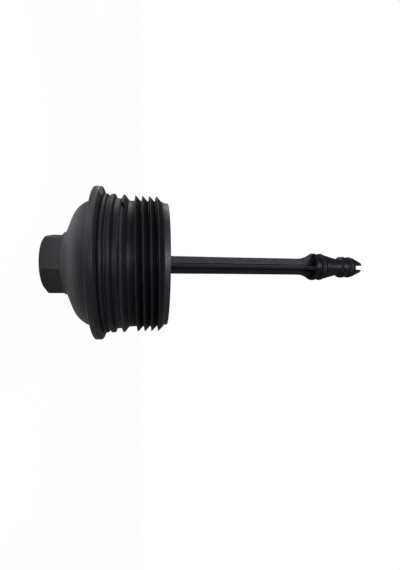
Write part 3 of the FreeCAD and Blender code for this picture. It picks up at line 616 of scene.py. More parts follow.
def make_hexagon(scene):
    """The hexagon drive: a six-sided bar within a chamfer cone, with its edges rounded."""
    size = scene.cap_hexagon
    top = size.height + size.neck_lap
    corner_radius = size.across_flats / math.sqrt(3.0)
    bpy.ops.object.select_all(action="DESELECT")
    middle = (0.0, 0.0, top / 2.0)
    bpy.ops.mesh.primitive_cylinder_add(vertices=6, radius=corner_radius, depth=top, location=middle)
    hexagon = bpy.context.object
    hexagon.name = "hexagon"
    bpy.ops.object.transform_apply(location=True, rotation=True, scale=True)
    beyond = corner_radius * CUTTER_SHARE
    slope = size.chamfer_height / (corner_radius - size.face_radius)
    cone = outline(
        (0.0, 0.0),
        (size.face_radius, 0.0),
        (beyond, slope * (beyond - size.face_radius)),
        (beyond, top * CUTTER_SHARE),
        (0.0, top * CUTTER_SHARE),
    )
    combine(hexagon, spun("chamfer_cone", cone, scene.cap_steps.shell), "INTERSECT")
    bevel = hexagon.modifiers.new("edges", "BEVEL")
    bevel.width = size.edge
    bevel.segments = 2
    bevel.limit_method = "ANGLE"
    bevel.angle_limit = BEVEL_ABOVE
    apply_modifiers(hexagon)
    open_edit(hexagon)
    merge_points(BEVEL_MERGE)
    leave_edit()
    return hexagon


def thread_share(turn, size):
    """Share of the thread's full depth at a number of turns from its start."""
    whole = size.run_in + size.full_turns + size.run_out
    return max(0.0, min(turn / size.run_in, (whole - turn) / size.run_out, 1.0))


def make_thread(scene):
    """The thread's ridge: its section screwed up the axis, sunk into the wall at both ends."""
    size = scene.cap_thread
    root = scene.cap_shell.root_radius
    depth = size.crest_radius - root
    half_crest = size.crest_width / 2.0
    start_height = size.first_crest - size.pitch * size.run_in
    foot = start_height - half_crest - size.load_rise
    head = start_height + half_crest + size.clear_rise
    thread = drawn_outline("thread", eased([
        (root - size.bury, foot, 0.0),
        (root, foot, 0.0),
        (size.crest_radius, start_height - half_crest, size.edge),
        (size.crest_radius, start_height + half_crest, size.edge),
        (root, head, 0.0),
        (root - size.bury, head, 0.0),
    ]))
    turns = size.run_in + size.full_turns + size.run_out
    screw = thread.modifiers.new("helix", "SCREW")
    screw.axis = "Z"
    screw.angle = FULL_TURN * turns
    screw.screw_offset = size.pitch * turns
    screw.iterations = 1
    screw.steps = int(scene.cap_steps.thread * turns)
    screw.render_steps = screw.steps
    screw.use_smooth_shade = True
    apply_modifiers(thread)
    turn_slack = 0.0001
    for vertex in thread.data.vertices:
        angle = math.atan2(vertex.co.y, vertex.co.x) / FULL_TURN
        above = (vertex.co.z - foot) / size.pitch
        turn = angle + math.floor(above - angle + turn_slack)
        drop = (1.0 - thread_share(turn, size)) * (depth + size.sink)
        radius = math.hypot(vertex.co.x, vertex.co.y)
        vertex.co.x *= (radius - drop) / radius
        vertex.co.y *= (radius - drop) / radius
    thread.data.transform(Matrix.Rotation(size.first_angle - FULL_TURN * size.run_in, 4, "Z"))
    open_edit(thread)
    bpy.ops.mesh.select_all(action="DESELECT")
    bpy.ops.mesh.select_non_manifold(extend=False)
    bpy.ops.mesh.edge_face_add()
    turn_outward()
    leave_edit()
    return thread


def make_spigot(scene):
    """The spigot that carries the filter element, with a foot flush with the ribs."""
    size = scene.cap_inside
    foot = size.floor_height - size.wall / 2.0
    bore = size.spigot_radius - size.spigot_wall
    seat = size.rib_top + FLUSH_GAP
    return spun("spigot", eased([
        (bore, foot, 0.0),
        (size.spigot_foot, foot, 0.0),
        (size.spigot_foot, seat, 0.0),
        (size.spigot_radius, seat, 0.0),
        (size.spigot_radius, size.spigot_top - size.spigot_lead, size.lead_edge),
        (size.spigot_radius - size.spigot_lead, size.spigot_top, size.lead_edge),
        (bore, size.spigot_top, size.edge),
    ]), scene.cap_steps.spigot)


def make_element_ribs(scene):
    """The radial ribs between the spigot and the wall, whose tops seat the filter element."""
    shell = scene.cap_shell
    size = scene.cap_inside
    foot = size.floor_height - size.wall / 2.0
    inner = size.spigot_radius - size.spigot_wall / 2.0
    outer = size.bore_radius + size.rib_bury
    return turned_copies(slab("rib", outline(
        (inner, foot),
        (size.floor_radius, foot),
        (shell.dome_edge_radius - size.dome_step, shell.dome_edge_height + size.wall / 2.0),
        (outer, shell.shoulder_height - size.rib_end_drop),
        (outer, size.rib_top),
        (inner, size.rib_top),
    ), size.rib_thickness), size.rib_count)


def make_socket(scene):
    """The socket in which the stem's pivot turns."""
    size = scene.cap_inside
    top = size.floor_height - size.socket_drop
    return spun("socket", eased([
        (size.socket_bore, size.end_wall / 2.0, 0.0),
        (size.socket_radius, size.end_wall / 2.0, 0.0),
        (size.socket_radius, top, size.edge),
        (size.socket_bore, top, size.edge),
    ]), scene.cap_steps.socket)


def make_webs(scene):
    """The webs that hold the socket in the hollow core."""
    size = scene.cap_inside
    inner = (size.socket_radius + size.socket_bore) / 2.0
    outer = size.core_radius + size.wall / 4.0
    web = rectangle(inner, outer, size.end_wall / 2.0, size.floor_height - size.socket_drop)
    return turned_copies(slab("web", web, size.web_thickness), size.web_count)


def make_fingers(scene):
    """The ring of snap fingers whose barbs hold the stem's foot."""
    size = scene.cap_inside
    outer = size.finger_inner + size.finger_thickness
    foot = size.floor_height - size.wall / 4.0
    fingers = spun("fingers", eased([
        (size.finger_inner, foot, 0.0),
        (outer, foot, 0.0),
        (outer, size.finger_top, size.edge),
        (size.finger_inner, size.finger_top, size.edge),
        (size.barb_radius, size.barb_height + size.barb_face, size.lead_edge),
        (size.barb_radius, size.barb_height, size.barb_edge),
        (size.finger_inner, size.barb_height, 0.0),
    ]), scene.cap_steps.fingers)
    slot = rectangle(
        size.barb_radius / CUTTER_SHARE, outer + MM, size.floor_height - size.wall / 8.0, size.finger_top + MM
    )
    slots = turned_copies(slab("finger_slot", slot, size.finger_gap), size.finger_count)
    return combine(fingers, slots, "DIFFERENCE")


class FILTERCAP_OT_cap(bpy.types.Operator):
    """Builds the cap's one moulding: hexagon, shell, thread, cavity and the parts inside"""
    bl_idname = "filtercap.cap"
    bl_label = "Cap moulding"

    def execute(self, context):
        scene = context.scene
        cap = make_shell(scene)
        combine(cap, make_hexagon(scene), "UNION")
        combine(cap, make_thread(scene), "UNION")
        combine(cap, spun("cavity", cavity_outline(scene), scene.cap_steps.shell), "DIFFERENCE")
        for make in (make_spigot, make_element_ribs, make_socket, make_webs, make_fingers):
            combine(cap, make(scene), "UNION")
        finished(cap, "cap", cap_plastic(scene))
        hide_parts("cap_body")
        return {"FINISHED"}


# Seals

Ring = namedtuple("Ring", "name body node radius section floor height")


def seal(ring, gap, levels):
    """A rubber ring of round section, flat on the inside where it lies on its groove's floor."""
    half = ring.section / 2.0
    flat = ring.radius - ring.floor - gap
    limit = math.acos(-flat / half) if flat < half else math.pi
    points = []
    for step in range(levels.seal_section + 1):
        angle = -limit + 2.0 * limit * step / levels.seal_section
        points.append(Vector((ring.radius + half * math.cos(angle), ring.height + half * math.sin(angle))))
    return spun(ring.name, points, levels.seal)


class FILTERCAP_OT_seals(bpy.types.Operator):
    """Builds the cover seal and the two stem seals"""
    bl_idname = "filtercap.seals"
    bl_label = "Seals"

    def execute(self, context):
        scene = context.scene
        size = scene.cap_seals
        head = scene.cap_head
        shell = scene.cap_shell
        half_stem = size.stem_section / 2.0
        cover_height = shell.seal_groove_bottom + size.cover_section / 2.0
        rings = (
            Ring("cover_seal", "cap", "cover_seal_ring", size.cover_radius, size.cover_section,
                 shell.seal_groove_radius, cover_height),
            Ring("upper_seal", "stem", "upper_stem_seal", head.groove_radius + half_stem,
                 size.stem_section, head.groove_radius, head.seal_height),
            Ring("lower_seal", "stem", "lower_stem_seal", head.tip_groove_radius + half_stem,
                 size.stem_section, head.tip_groove_radius, head.tip_seal_height),
        )
        rubber = seal_rubber(scene)
        for ring in rings:
            obj = seal(ring, size.seal_gap, scene.cap_steps)
            finished(obj, ring.body, rubber)
            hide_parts(ring.node)
        return {"FINISHED"}


# Stem

# Multiple of the fillet between the ribs beyond which a point belongs to a rib's end
PAST_FILLET = 1.2


def rib_reach(size, height, count):
    """How far the stem's ribs reach at a height."""
    narrow_top = size.foot_top + size.gusset_height
    if height < narrow_top:
        first = Vector((size.gusset_radius, size.foot_top))
        last = Vector((size.radius, narrow_top))
        arc = [first] + arc_points(first, last, size.gusset_round, "left", count) + [last]
    elif height > size.flare_foot:
        first = Vector((size.slim_radius, size.flare_foot))
        last = Vector((size.flare_radius, size.flare_height))
        arc = [first] + arc_points(first, last, size.flare_round, "left", count) + [last]
    else:
        share = min(1.0, (height - narrow_top) / (size.slim_height - narrow_top))
        return size.radius + (size.slim_radius - size.radius) * share
    for low, high in zip(arc, arc[1:]):
        if height <= high.y:
            share = (height - low.y) / (high.y - low.y)
            return low.x + (high.x - low.x) * share
    return arc[-1].x


def even_heights(first, last, count):
    """Evenly spaced heights after the first, up to the last."""
    return [first + (last - first) * step / count for step in range(1, count + 1)]


def rib_heights(size, head, levels):
    """Heights from which and to which the shaft's cross is extruded."""
    narrow_top = size.foot_top + size.gusset_height
    heights = [size.foot_bottom, size.foot_top]
    heights += even_heights(size.foot_top, narrow_top, levels.gusset)
    heights += even_heights(narrow_top, size.slim_height, levels.shaft)
    heights += [size.flare_foot]
    heights += even_heights(size.flare_foot, size.flare_height, levels.flare)
    return heights + [head.collar_height + head.collar_width / 2.0]


def make_shaft(scene):
    """The cross-shaped shaft: a cross extruded from height to height, each rib moved to its reach."""
    size = scene.cap_stem
    levels = scene.cap_steps
    half = size.rib_thickness / 2.0
    reach = size.gusset_radius
    quarter_turn = Matrix.Rotation(math.pi / 2.0, 2)
    rib = [
        (Vector((reach, -half)), size.edge),
        (Vector((reach, half)), size.edge),
        (Vector((half, half)), size.rib_fillet),
    ]
    corners = []
    for quarter in range(4):
        corners += [(place.x, place.y, ease) for place, ease in rib]
        rib = [(quarter_turn @ place, ease) for place, ease in rib]
    shaft = drawn_outline("stem_shaft", eased(corners))
    shaft.data.transform(Matrix.Rotation(-math.pi / 2.0, 4, "X"))
    shaft.data.transform(Matrix.Translation((0.0, 0.0, size.foot_bottom)))
    open_edit(shaft)
    bpy.ops.mesh.edge_face_add()
    heights = rib_heights(size, scene.cap_head, levels)
    for low, high in zip(heights, heights[1:]):
        extrude_by((0.0, 0.0, high - low))
    turn_outward()
    leave_edit()
    rib_zone = half + size.rib_fillet * PAST_FILLET
    for vertex in shaft.data.vertices:
        step = rib_reach(size, max(vertex.co.z, size.foot_top), levels.hollow) - reach
        if abs(vertex.co.x) > rib_zone:
            vertex.co.x += step * math.copysign(1.0, vertex.co.x)
        elif abs(vertex.co.y) > rib_zone:
            vertex.co.y += step * math.copysign(1.0, vertex.co.y)
    return shaft


def head_outline(head):
    """The stem's turned head: two collars with their seal grooves, the cone between and the tip."""
    edge = head.edge
    collar_edge = edge * 1.5
    soft_edge = edge * 2.0
    step_edge = edge * 3.0
    neck_edge = edge * 4.0
    cone_edge = edge * 5.0
    groove_bottom = head.seal_height - head.groove_width / 2.0
    groove_top = groove_bottom + head.groove_width
    collar_top = head.collar_height + head.collar_width
    tip_groove_bottom = head.tip_seal_height - head.tip_groove_width / 2.0
    tip_groove_top = tip_groove_bottom + head.tip_groove_width
    tip_collar_top = head.tip_collar_height + head.tip_collar_width
    collar_and_cone = [
        (0.0, head.collar_height, 0.0),
        (head.collar_radius, head.collar_height, collar_edge),
        (head.collar_radius, collar_top, collar_edge),
        (head.body_radius, collar_top + head.collar_slope, edge),
        (head.body_radius, groove_bottom, collar_edge),
        (head.groove_radius, groove_bottom, edge),
        (head.groove_radius, groove_top, edge),
        (head.body_radius, groove_top, collar_edge),
        (head.body_radius, head.body_top, edge),
        (head.step_radius, head.step_height, step_edge),
        (head.cone_radius, head.cone_height, cone_edge),
        (head.cone_top_radius, head.cone_top, cone_edge),
    ]
    collar_and_tip = [
        (head.cone_top_radius, head.tip_collar_foot, neck_edge),
        (head.tip_collar_radius, head.tip_collar_height, neck_edge),
        (head.tip_collar_radius, tip_collar_top, soft_edge),
        (head.tip_body_radius, tip_collar_top + head.tip_collar_slope, edge),
        (head.tip_body_radius, tip_groove_bottom, collar_edge),
        (head.tip_groove_radius, tip_groove_bottom, edge),
        (head.tip_groove_radius, tip_groove_top, edge),
        (head.tip_shoulder_radius, tip_groove_top, collar_edge),
        (head.tip_shoulder_radius, head.tip_shoulder, neck_edge),
        (head.tip_end_radius + head.tip_edge, head.tip_end - head.tip_edge, soft_edge),
        (head.tip_end_radius, head.tip_end, edge),
        (0.0, head.tip_end, 0.0),
    ]
    return eased(collar_and_cone + collar_and_tip)


def make_foot(scene):
    """The stem's round foot with the pivot pin under it."""
    size = scene.cap_stem
    pivot_end = size.foot_bottom - size.pivot_length
    return spun("stem_foot", outline(
        (0.0, pivot_end),
        (size.pivot_radius - size.pivot_lead, pivot_end),
        (size.pivot_radius, pivot_end + size.pivot_lead),
        (size.pivot_radius, size.foot_bottom),
        (size.foot_radius, size.foot_bottom),
        (size.foot_radius, size.foot_top - size.foot_edge),
        (size.foot_radius - size.foot_edge, size.foot_top),
        (0.0, size.foot_top),
    ), scene.cap_steps.stem)


def make_fork(scene):
    """The cutter for the slot across the tip."""
    head = scene.cap_head
    half = head.fork_width / 2.0
    slot = rectangle(-half, half, head.tip_end - head.fork_depth, head.tip_end + MM)
    return slab("fork", slot, head.tip_shoulder_radius * 2.0)


class FILTERCAP_OT_stem(bpy.types.Operator):
    """Builds the stem's one moulding: foot, pivot, ribs, collars and forked tip"""
    bl_idname = "filtercap.stem"
    bl_label = "Stem moulding"

    def execute(self, context):
        scene = context.scene
        stem = spun("stem_moulding", head_outline(scene.cap_head), scene.cap_steps.stem)
        combine(stem, make_shaft(scene), "UNION")
        combine(stem, make_foot(scene), "UNION")
        combine(stem, make_fork(scene), "DIFFERENCE")
        stem.data.transform(Matrix.Rotation(scene.cap_stem.turn, 4, "Z"))
        finished(stem, "stem", stem_plastic(scene), STEM_SHARP_ABOVE)
        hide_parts("centre_stem")
        return {"FINISHED"}


# Node trees

# Sockets of the Mix node in colour mode, and of the shader mix, whose names repeat
MIX_FACTOR, MIX_FIRST, MIX_SECOND, MIX_RESULT = 0, 6, 7, 2
SHADER_FIRST, SHADER_SECOND = 1, 2

# A noise: scale and detail, the band of it that is used, what that becomes, and its stretch along X, Y and Z
Pattern = namedtuple(
    "Pattern", "scale detail band result stretch", defaults=(None, (0.0, 1.0), (1.0, 1.0, 1.0))
)

# A fine relief: its grain, its longer waves and their share, its strength and its depth
Relief = namedtuple("Relief", "grain waves wave_share strength depth")

# A mark on the surface: angle round the axis in degrees, then radius, height and size in millimetres
Mark = namedtuple("Mark", "angle radius height size")

# Share of a mark's size within which it is full
MARK_CORE = 0.45


class NodeTree:
    """Writes the node tree of one material or of the surroundings."""

    def __init__(self, owner):
        owner.use_nodes = True
        self.tree = owner.node_tree

    def add(self, kind, **settings):
        """Adds a node of a kind with its settings."""
        node = self.tree.nodes.new("ShaderNode" + kind)
        for name, value in settings.items():
            setattr(node, name, value)
        return node

    def feed(self, socket, value):
        """Links a socket to another node's output, or gives it a plain value."""
        if isinstance(value, bpy.types.NodeSocket):
            self.tree.links.new(value, socket)
        else:
            socket.default_value = value

    def math(self, operation, first, second):
        """A sum, product or the like of two values."""
        node = self.add("Math", operation=operation)
        self.feed(node.inputs[0], first)
        self.feed(node.inputs[1], second)
        return node.outputs["Value"]


class Surface(NodeTree):
    """Writes a moulded material that reads object coordinates."""

    def __init__(self, name):
        self.material = bpy.data.materials.new(name)
        super().__init__(self.material)
        self.shader = self.tree.nodes["Principled BSDF"]
        self.coordinates = self.add("TexCoord").outputs["Object"]

    def give(self, name, value):
        """Gives one of the shader's inputs a value or a link."""
        self.feed(self.shader.inputs[name], value)

    def noise(self, pattern):
        """A pattern's raw noise."""
        mapping = self.add("Mapping")
        self.feed(mapping.inputs["Scale"], pattern.stretch)
        self.feed(mapping.inputs["Vector"], self.coordinates)
        node = self.add("TexNoise")
        self.feed(node.inputs["Scale"], pattern.scale)
        self.feed(node.inputs["Detail"], pattern.detail)
        self.feed(node.inputs["Vector"], mapping.outputs["Vector"])
        return node.outputs["Fac"]

    def remap(self, value, low, high, to_low=0.0, to_high=1.0):
        """A smooth step from one value to another between two limits."""
        node = self.add("MapRange", interpolation_type="SMOOTHSTEP")
        limits = {"Value": value, "From Min": low, "From Max": high, "To Min": to_low, "To Max": to_high}
        for name, limit in limits.items():
            self.feed(node.inputs[name], limit)
        return node.outputs["Result"]

    def pattern(self, pattern):
        """A noise cut to its band."""
        return self.remap(self.noise(pattern), *pattern.band, *pattern.result)

    def between(self, value, heights):
        """Share that rises between the first two heights and falls between the last two."""
        rise = self.remap(value, heights[0], heights[1])
        return self.math("MULTIPLY", rise, self.remap(value, heights[2], heights[3], 1.0, 0.0))

    def mix(self, factor, first, second):
        """A colour between two others."""
        node = self.add("Mix", data_type="RGBA")
        for index, value in ((MIX_FACTOR, factor), (MIX_FIRST, first), (MIX_SECOND, second)):
            self.feed(node.inputs[index], value)
        return node.outputs[MIX_RESULT]

    def mottled(self, share, tone, darkness):
        """A colour with spots of a darker one."""
        return self.mix(share, rgba(tone, darkness), rgba(tone))

    def height(self):
        """Height above the origin."""
        node = self.add("SeparateXYZ")
        self.feed(node.inputs["Vector"], self.coordinates)
        return node.outputs["Z"]

    def radius(self):
        """Distance from the axis."""
        flat = self.add("VectorMath", operation="MULTIPLY")
        self.feed(flat.inputs[0], self.coordinates)
        self.feed(flat.inputs[1], (1.0, 1.0, 0.0))
        reach = self.add("VectorMath", operation="LENGTH")
        self.feed(reach.inputs[0], flat.outputs["Vector"])
        return reach.outputs["Value"]

    def near(self, mark):
        """Share that is full in the middle of a mark and fades out towards its edge."""
        angle = math.radians(mark.angle)
        place = (mark.radius * math.cos(angle) * MM, mark.radius * math.sin(angle) * MM, mark.height * MM)
        node = self.add("VectorMath", operation="DISTANCE")
        self.feed(node.inputs[0], self.coordinates)
        self.feed(node.inputs[1], place)
        size = mark.size * MM
        return self.remap(node.outputs["Value"], size * MARK_CORE, size, 1.0, 0.0)

    def give_relief(self, relief):
        """Gives the shader the bump of a fine relief."""
        height = self.noise(relief.grain)
        if relief.waves:
            waves = self.math("MULTIPLY", self.noise(relief.waves), relief.wave_share)
            height = self.math("ADD", height, waves)
        node = self.add("Bump")
        self.feed(node.inputs["Strength"], relief.strength)
        self.feed(node.inputs["Distance"], relief.depth)
        self.feed(node.inputs["Height"], height)
        self.give("Normal", node.outputs["Normal"])


def rgba(tone, share=1.0):
    """A colour with full alpha, darkened to a share of itself."""
    return (tone[0] * share, tone[1] * share, tone[2] * share, 1.0)


# The cap's plastic

CAP_MOTTLE = Pattern(180.0, 4.0, (0.35, 0.65))
CAP_GLOSS = Pattern(420.0, 4.0, (0.3, 0.7), (0.38, 0.50))
CAP_RELIEF = Relief(Pattern(2600.0, 3.0), Pattern(260.0, 2.0), 2.0, 0.35, 0.06 * MM)
# Streaks of the painted sheen on the crests
CREST_SHEEN_STREAKS = Pattern(900.0, 2.0, (0.4, 0.7), (0.25, 0.8), (1.0, 1.0, 6.0))
SHEEN_AND_SCUFF_GRAIN = Pattern(1400.0, 3.0, (0.3, 0.6), (0.2, 1.0))

# How dark the spots of the hexagon, the dome and the rest are
HEXAGON_SPOTS, DOME_SPOTS, CAP_SPOTS = 0.82, 0.86, 0.8

# Shine of the cap, of the thread, and what the skirt's end adds
CAP_SHINE, THREAD_SHINE, SKIRT_SHINE = 0.2, 0.1, 0.3

# Heights of the thread, whose flanks get painted shade, and of the flange's slope, which gets a painted
# highlight, and the radii of the crests, which get a painted sheen
SHADED_THREAD_HEIGHTS = tuple(height * MM for height in (49.0, 50.2, 65.5, 66.8))
SLOPE_HIGHLIGHT_HEIGHTS = tuple(height * MM for height in (32.2, 32.7, 33.8, 34.1))
CREST_SHEEN_RADII = (40.3 * MM, 40.8 * MM)

# Marks of use and moulding: the pit and the nick, whose hollows are painted as shade; then two painted
# highlights on the flange's edge and one scuff below the ridge
PIT = (Mark(-152.0, 41.0, 44.9, 1.4), Mark(-149.3, 41.1, 45.3, 2.1), Mark(-146.6, 40.9, 46.0, 1.4))
SHEEN_AND_SCUFFS = (Mark(-170.0, 43.8, 33.3, 4.0), Mark(-163.0, 44.0, 33.2, 2.8), Mark(-72.0, 39.0, 47.8, 0.6))
NICK = Mark(-158.5, 43.7, 33.1, 0.9)


def cap_plastic(scene):
    """Glass-filled moulding: mottled near-black and duller on the dome. Painted shade darkens the thread's
    flanks, the pit and the nick, and painted highlights pale the crests, the skirt's end and the flange's
    slope.
    """
    colours = scene.cap_colours
    shell = scene.cap_shell
    surface = Surface("cap_plastic")
    height = surface.height()
    mottle = surface.pattern(CAP_MOTTLE)
    hexagon = surface.mottled(mottle, colours.hexagon, HEXAGON_SPOTS)
    dome = surface.mottled(mottle, colours.dome, DOME_SPOTS)
    body = surface.mottled(mottle, colours.cap, CAP_SPOTS)
    above_neck = surface.remap(height, shell.neck_top - MM, shell.neck_top + MM)
    above_dome = surface.remap(height, shell.dome_edge_height - 2.0 * MM, shell.flange_foot_height)
    tone = surface.mix(above_dome, surface.mix(above_neck, hexagon, dome), body)
    # Painted shade: the thread's flanks between these heights take the darker colour
    in_shaded_thread = surface.between(height, SHADED_THREAD_HEIGHTS)
    tone = surface.mix(in_shaded_thread, tone, rgba(colours.shaded_flanks))
    # Painted highlight: the skirt's end and the flange's slope take a paler colour; the skirt's added shine
    # is real gloss
    on_skirt = surface.remap(height, shell.skirt_foot, shell.skirt_foot + MM)
    tone = surface.mix(on_skirt, tone, rgba(colours.bright))
    tone = surface.mix(surface.between(height, SLOPE_HIGHLIGHT_HEIGHTS), tone, rgba(colours.bright))
    # Painted sheen: the crests past the land take a paler colour in streaks
    on_crest = surface.remap(surface.radius(), *CREST_SHEEN_RADII)
    past_land = surface.remap(height, shell.lower_groove_top, shell.lower_groove_top + shell.ridge_rise)
    crest_sheen_share = surface.math("MULTIPLY", on_crest, past_land)
    crest_sheen_share = surface.math("MULTIPLY", crest_sheen_share, surface.pattern(CREST_SHEEN_STREAKS))
    tone = surface.mix(crest_sheen_share, tone, rgba(colours.crest_sheen))
    # Painted highlights on the flange's edge, and one real scuff below the ridge
    for mark in SHEEN_AND_SCUFFS:
        share = surface.math("MULTIPLY", surface.near(mark), surface.pattern(SHEEN_AND_SCUFF_GRAIN))
        tone = surface.mix(share, tone, rgba(colours.scuff_and_sheen))
    shine = surface.remap(in_shaded_thread, 0.0, 1.0, CAP_SHINE, THREAD_SHINE)
    shine = surface.math("ADD", shine, surface.remap(on_skirt, 0.0, 1.0, 0.0, SKIRT_SHINE))
    # Painted shade: the pit and the nick are darkened in colour and lose their shine, in place of modelled
    # hollows
    for mark in PIT + (NICK,):
        share = surface.near(mark)
        tone = surface.mix(share, tone, rgba(colours.pit_shade))
        shine = surface.math("MULTIPLY", shine, surface.math("SUBTRACT", 1.0, share))
    surface.give("Base Color", tone)
    surface.give("Roughness", surface.pattern(CAP_GLOSS))
    surface.give("Specular IOR Level", shine)
    surface.give_relief(CAP_RELIEF)
    return surface.material


# The stem's plastic and the seals' rubber

Finish = namedtuple("Finish", "pattern spots gloss shine relief")

STEM_FINISH = Finish(
    pattern=Pattern(240.0, 4.0, (0.35, 0.65), (0.0, 1.0), (1.0, 1.0, 0.12)), spots=0.78,
    gloss=Pattern(500.0, 3.0, (0.3, 0.7), (0.30, 0.42)), shine=0.2,
    relief=Relief(Pattern(2800.0, 3.0), Pattern(300.0, 2.0), 2.0, 0.3, 0.05 * MM),
)
RUBBER_FINISH = Finish(
    pattern=Pattern(700.0, 4.0, (0.35, 0.7)), spots=0.8,
    gloss=Pattern(900.0, 3.0, (0.3, 0.7), (0.42, 0.56)), shine=0.2,
    relief=Relief(Pattern(3200.0, 3.0), None, 0.0, 0.2, 0.04 * MM),
)


def plain_finish(name, tone, finish):
    """A material of one colour with darker spots, a varying gloss and a fine relief."""
    surface = Surface(name)
    surface.give("Base Color", surface.mottled(surface.pattern(finish.pattern), tone, finish.spots))
    surface.give("Roughness", surface.pattern(finish.gloss))
    surface.give("Specular IOR Level", finish.shine)
    surface.give_relief(finish.relief)
    return surface.material


def stem_plastic(scene):
    """Smoother near-black moulding with faint flow marks along the ribs."""
    return plain_finish("stem_plastic", scene.cap_colours.stem, STEM_FINISH)


def seal_rubber(scene):
    """Black rubber with a soft sheen and the fine bloom of moulded rings."""
    return plain_finish("seal_rubber", scene.cap_colours.rubber, RUBBER_FINISH)


# Stage

def white_to_camera(nodes, lit, white, seen_share, mirrored_share):
    """Mixes a lit shader with plain white for the rays that see the background."""
    path = nodes.add("LightPath")
    mirrored = nodes.math("MAXIMUM", path.outputs["Is Glossy Ray"], path.outputs["Is Transmission Ray"])
    mirrored = nodes.math("MULTIPLY", mirrored, mirrored_share)
    seen = nodes.math("MAXIMUM", path.outputs["Is Camera Ray"], mirrored)
    mix = nodes.add("MixShader")
    nodes.feed(mix.inputs["Fac"], nodes.math("MULTIPLY", seen, seen_share))
    nodes.feed(mix.inputs[SHADER_FIRST], lit)
    nodes.feed(mix.inputs[SHADER_SECOND], white)
    return mix.outputs["Shader"]


def floor_material(settings):
    """Pale floor that reads white to the camera and still takes a soft shadow."""
    material = bpy.data.materials.new("floor")
    nodes = NodeTree(material)
    shader = nodes.tree.nodes["Principled BSDF"]
    shader.inputs["Base Color"].default_value = rgba(settings.floor_colour)
    shader.inputs["Roughness"].default_value = settings.floor_roughness
    lit = shader.outputs["BSDF"]
    white = nodes.add("Emission").outputs["Emission"]
    mixed = white_to_camera(nodes, lit, white, settings.floor_white, settings.mirrored_share)
    nodes.feed(nodes.tree.nodes["Material Output"].inputs["Surface"], mixed)
    return material


def set_world(scene, settings):
    """White surroundings for the camera, with a faint even light from all round."""
    world = bpy.data.worlds.new("studio")
    nodes = NodeTree(world)
    ambient = nodes.tree.nodes["Background"]
    ambient.inputs["Color"].default_value = rgba(settings.ambient_colour)
    ambient.inputs["Strength"].default_value = settings.ambient_strength
    plain = nodes.add("Background")
    plain.inputs["Color"].default_value = (1.0, 1.0, 1.0, 1.0)
    lit, white = ambient.outputs["Background"], plain.outputs["Background"]
    mixed = white_to_camera(nodes, lit, white, 1.0, settings.mirrored_share)
    nodes.feed(nodes.tree.nodes["World Output"].inputs["Surface"], mixed)
    scene.world = world


# Area lights: place, the point they face, width and height in metres, power in watts and tint
Lamp = namedtuple("Lamp", "name place target size power tint")

MIDDLE = (0.0, 0.0, 0.08)
LAMPS = (
    Lamp("top_light", (-0.38, 0.26, 0.07), MIDDLE, (0.3, 0.3), 0.7, (1.0, 0.96, 0.90)),
    Lamp("front_light", (-0.21, -0.53, 0.33), MIDDLE, (0.11, 1.0), 3.9, (0.97, 0.93, 1.0)),
    Lamp("low_light", (-0.085, -0.055, 0.022), (-0.080, -0.052, 0.0), (0.08, 0.08), 0.10, (0.88, 0.94, 1.0)),
    Lamp("fill_light", (0.080, -0.055, 0.022), (0.076, -0.052, 0.0), (0.08, 0.08), 0.015, (1.0, 1.0, 0.88)),
)


def add_lamp(lamp):
    """An area light turned towards its target."""
    light = bpy.data.lights.new(lamp.name, "AREA")
    light.shape = "RECTANGLE"
    light.size, light.size_y = lamp.size
    light.energy = lamp.power
    light.color = lamp.tint
    obj = bpy.data.objects.new(lamp.name, light)
    bpy.context.collection.objects.link(obj)
    obj.location = lamp.place
    obj.rotation_euler = (Vector(lamp.target) - Vector(lamp.place)).to_track_quat("-Z", "Y").to_euler()


# The camera lies on its side, so that the cap's axis runs across the picture
CAMERA_AZIMUTH = math.radians(6.5)
CAMERA_DISTANCE = 0.202335
CAMERA_HEIGHT = 0.058078
CAMERA_LIFT = 0.010968
CAMERA_PAN = math.radians(-9.438)
CAMERA_TILT = math.radians(-6.573)
CAMERA_ROLL = math.radians(1.344)
CAMERA_LENS = 20.34
CAMERA_SENSOR = 36.0
CAMERA_NEAREST = 0.01


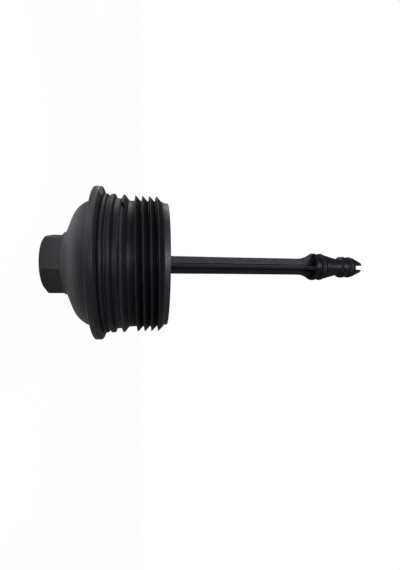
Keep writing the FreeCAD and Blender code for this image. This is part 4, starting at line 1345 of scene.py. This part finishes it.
def add_camera(scene):
    """The camera of the photograph: looks across the axis, with +Z to the right of the picture."""
    toward = Vector((math.sin(CAMERA_AZIMUTH), math.cos(CAMERA_AZIMUTH), 0.0))
    right = Vector((0.0, 0.0, 1.0))
    back = -toward
    up = back.cross(right)
    place = -toward * CAMERA_DISTANCE + up * CAMERA_LIFT + right * CAMERA_HEIGHT
    pan = Matrix.Rotation(CAMERA_PAN, 3, "Y")
    tilt = Matrix.Rotation(CAMERA_TILT, 3, "X")
    roll = Matrix.Rotation(CAMERA_ROLL, 3, "Z")
    turn = Matrix((right, up, back)).transposed() @ pan @ tilt @ roll
    data = bpy.data.cameras.new("camera")
    data.lens = CAMERA_LENS
    data.sensor_width = CAMERA_SENSOR
    data.sensor_fit = "AUTO"
    data.clip_start = CAMERA_NEAREST
    camera = bpy.data.objects.new("camera", data)
    bpy.context.collection.objects.link(camera)
    camera.matrix_world = Matrix.Translation(place) @ turn.to_4x4()
    scene.camera = camera


class FILTERCAP_OT_stage(bpy.types.Operator):
    """Sets the floor, the soft studio light, the white surroundings and the camera"""
    bl_idname = "filtercap.stage"
    bl_label = "Stage"

    def execute(self, context):
        scene = context.scene
        settings = scene.cap_stage
        bpy.ops.object.select_all(action="DESELECT")
        bpy.ops.mesh.primitive_plane_add(size=settings.floor_size, location=(0.0, 0.0, 0.0))
        floor = context.object
        floor.name = "floor"
        floor.data.materials.append(floor_material(settings))
        set_world(scene, settings)
        for lamp in LAMPS:
            add_lamp(lamp)
        add_camera(scene)
        scene.view_settings.view_transform = "Standard"
        return {"FINISHED"}


class FILTERCAP_PT_panel(bpy.types.Panel):
    """Lists the pieces of the cap and their sizes in the sidebar"""
    bl_idname = "FILTERCAP_PT_panel"
    bl_label = "Filter Housing Cap"
    bl_space_type = "VIEW_3D"
    bl_region_type = "UI"
    bl_category = "Filter Cap"

    def draw(self, context):
        layout = self.layout
        for operator in OPERATORS:
            layout.operator(operator.bl_idname, text=operator.bl_label)
        for group in SIZE_GROUPS:
            box = layout.box()
            sizes = getattr(context.scene, group)
            for name in sizes.__annotations__:
                box.prop(sizes, name)


OPERATORS = (FILTERCAP_OT_cap, FILTERCAP_OT_stem, FILTERCAP_OT_seals, FILTERCAP_OT_stage)
CLASSES = tuple(SIZE_GROUPS.values()) + OPERATORS + (FILTERCAP_PT_panel,)


def register():
    for item in CLASSES:
        bpy.utils.register_class(item)
    for name, group in SIZE_GROUPS.items():
        setattr(bpy.types.Scene, name, PointerProperty(type=group))


def unregister():
    for name in SIZE_GROUPS:
        delattr(bpy.types.Scene, name)
    for item in reversed(CLASSES):
        bpy.utils.unregister_class(item)


def main():
    """Builds every piece and the stage."""
    register()
    bpy.ops.filtercap.cap()
    bpy.ops.filtercap.stem()
    bpy.ops.filtercap.seals()
    bpy.ops.filtercap.stage()


if __name__ == "__main__":
    main()
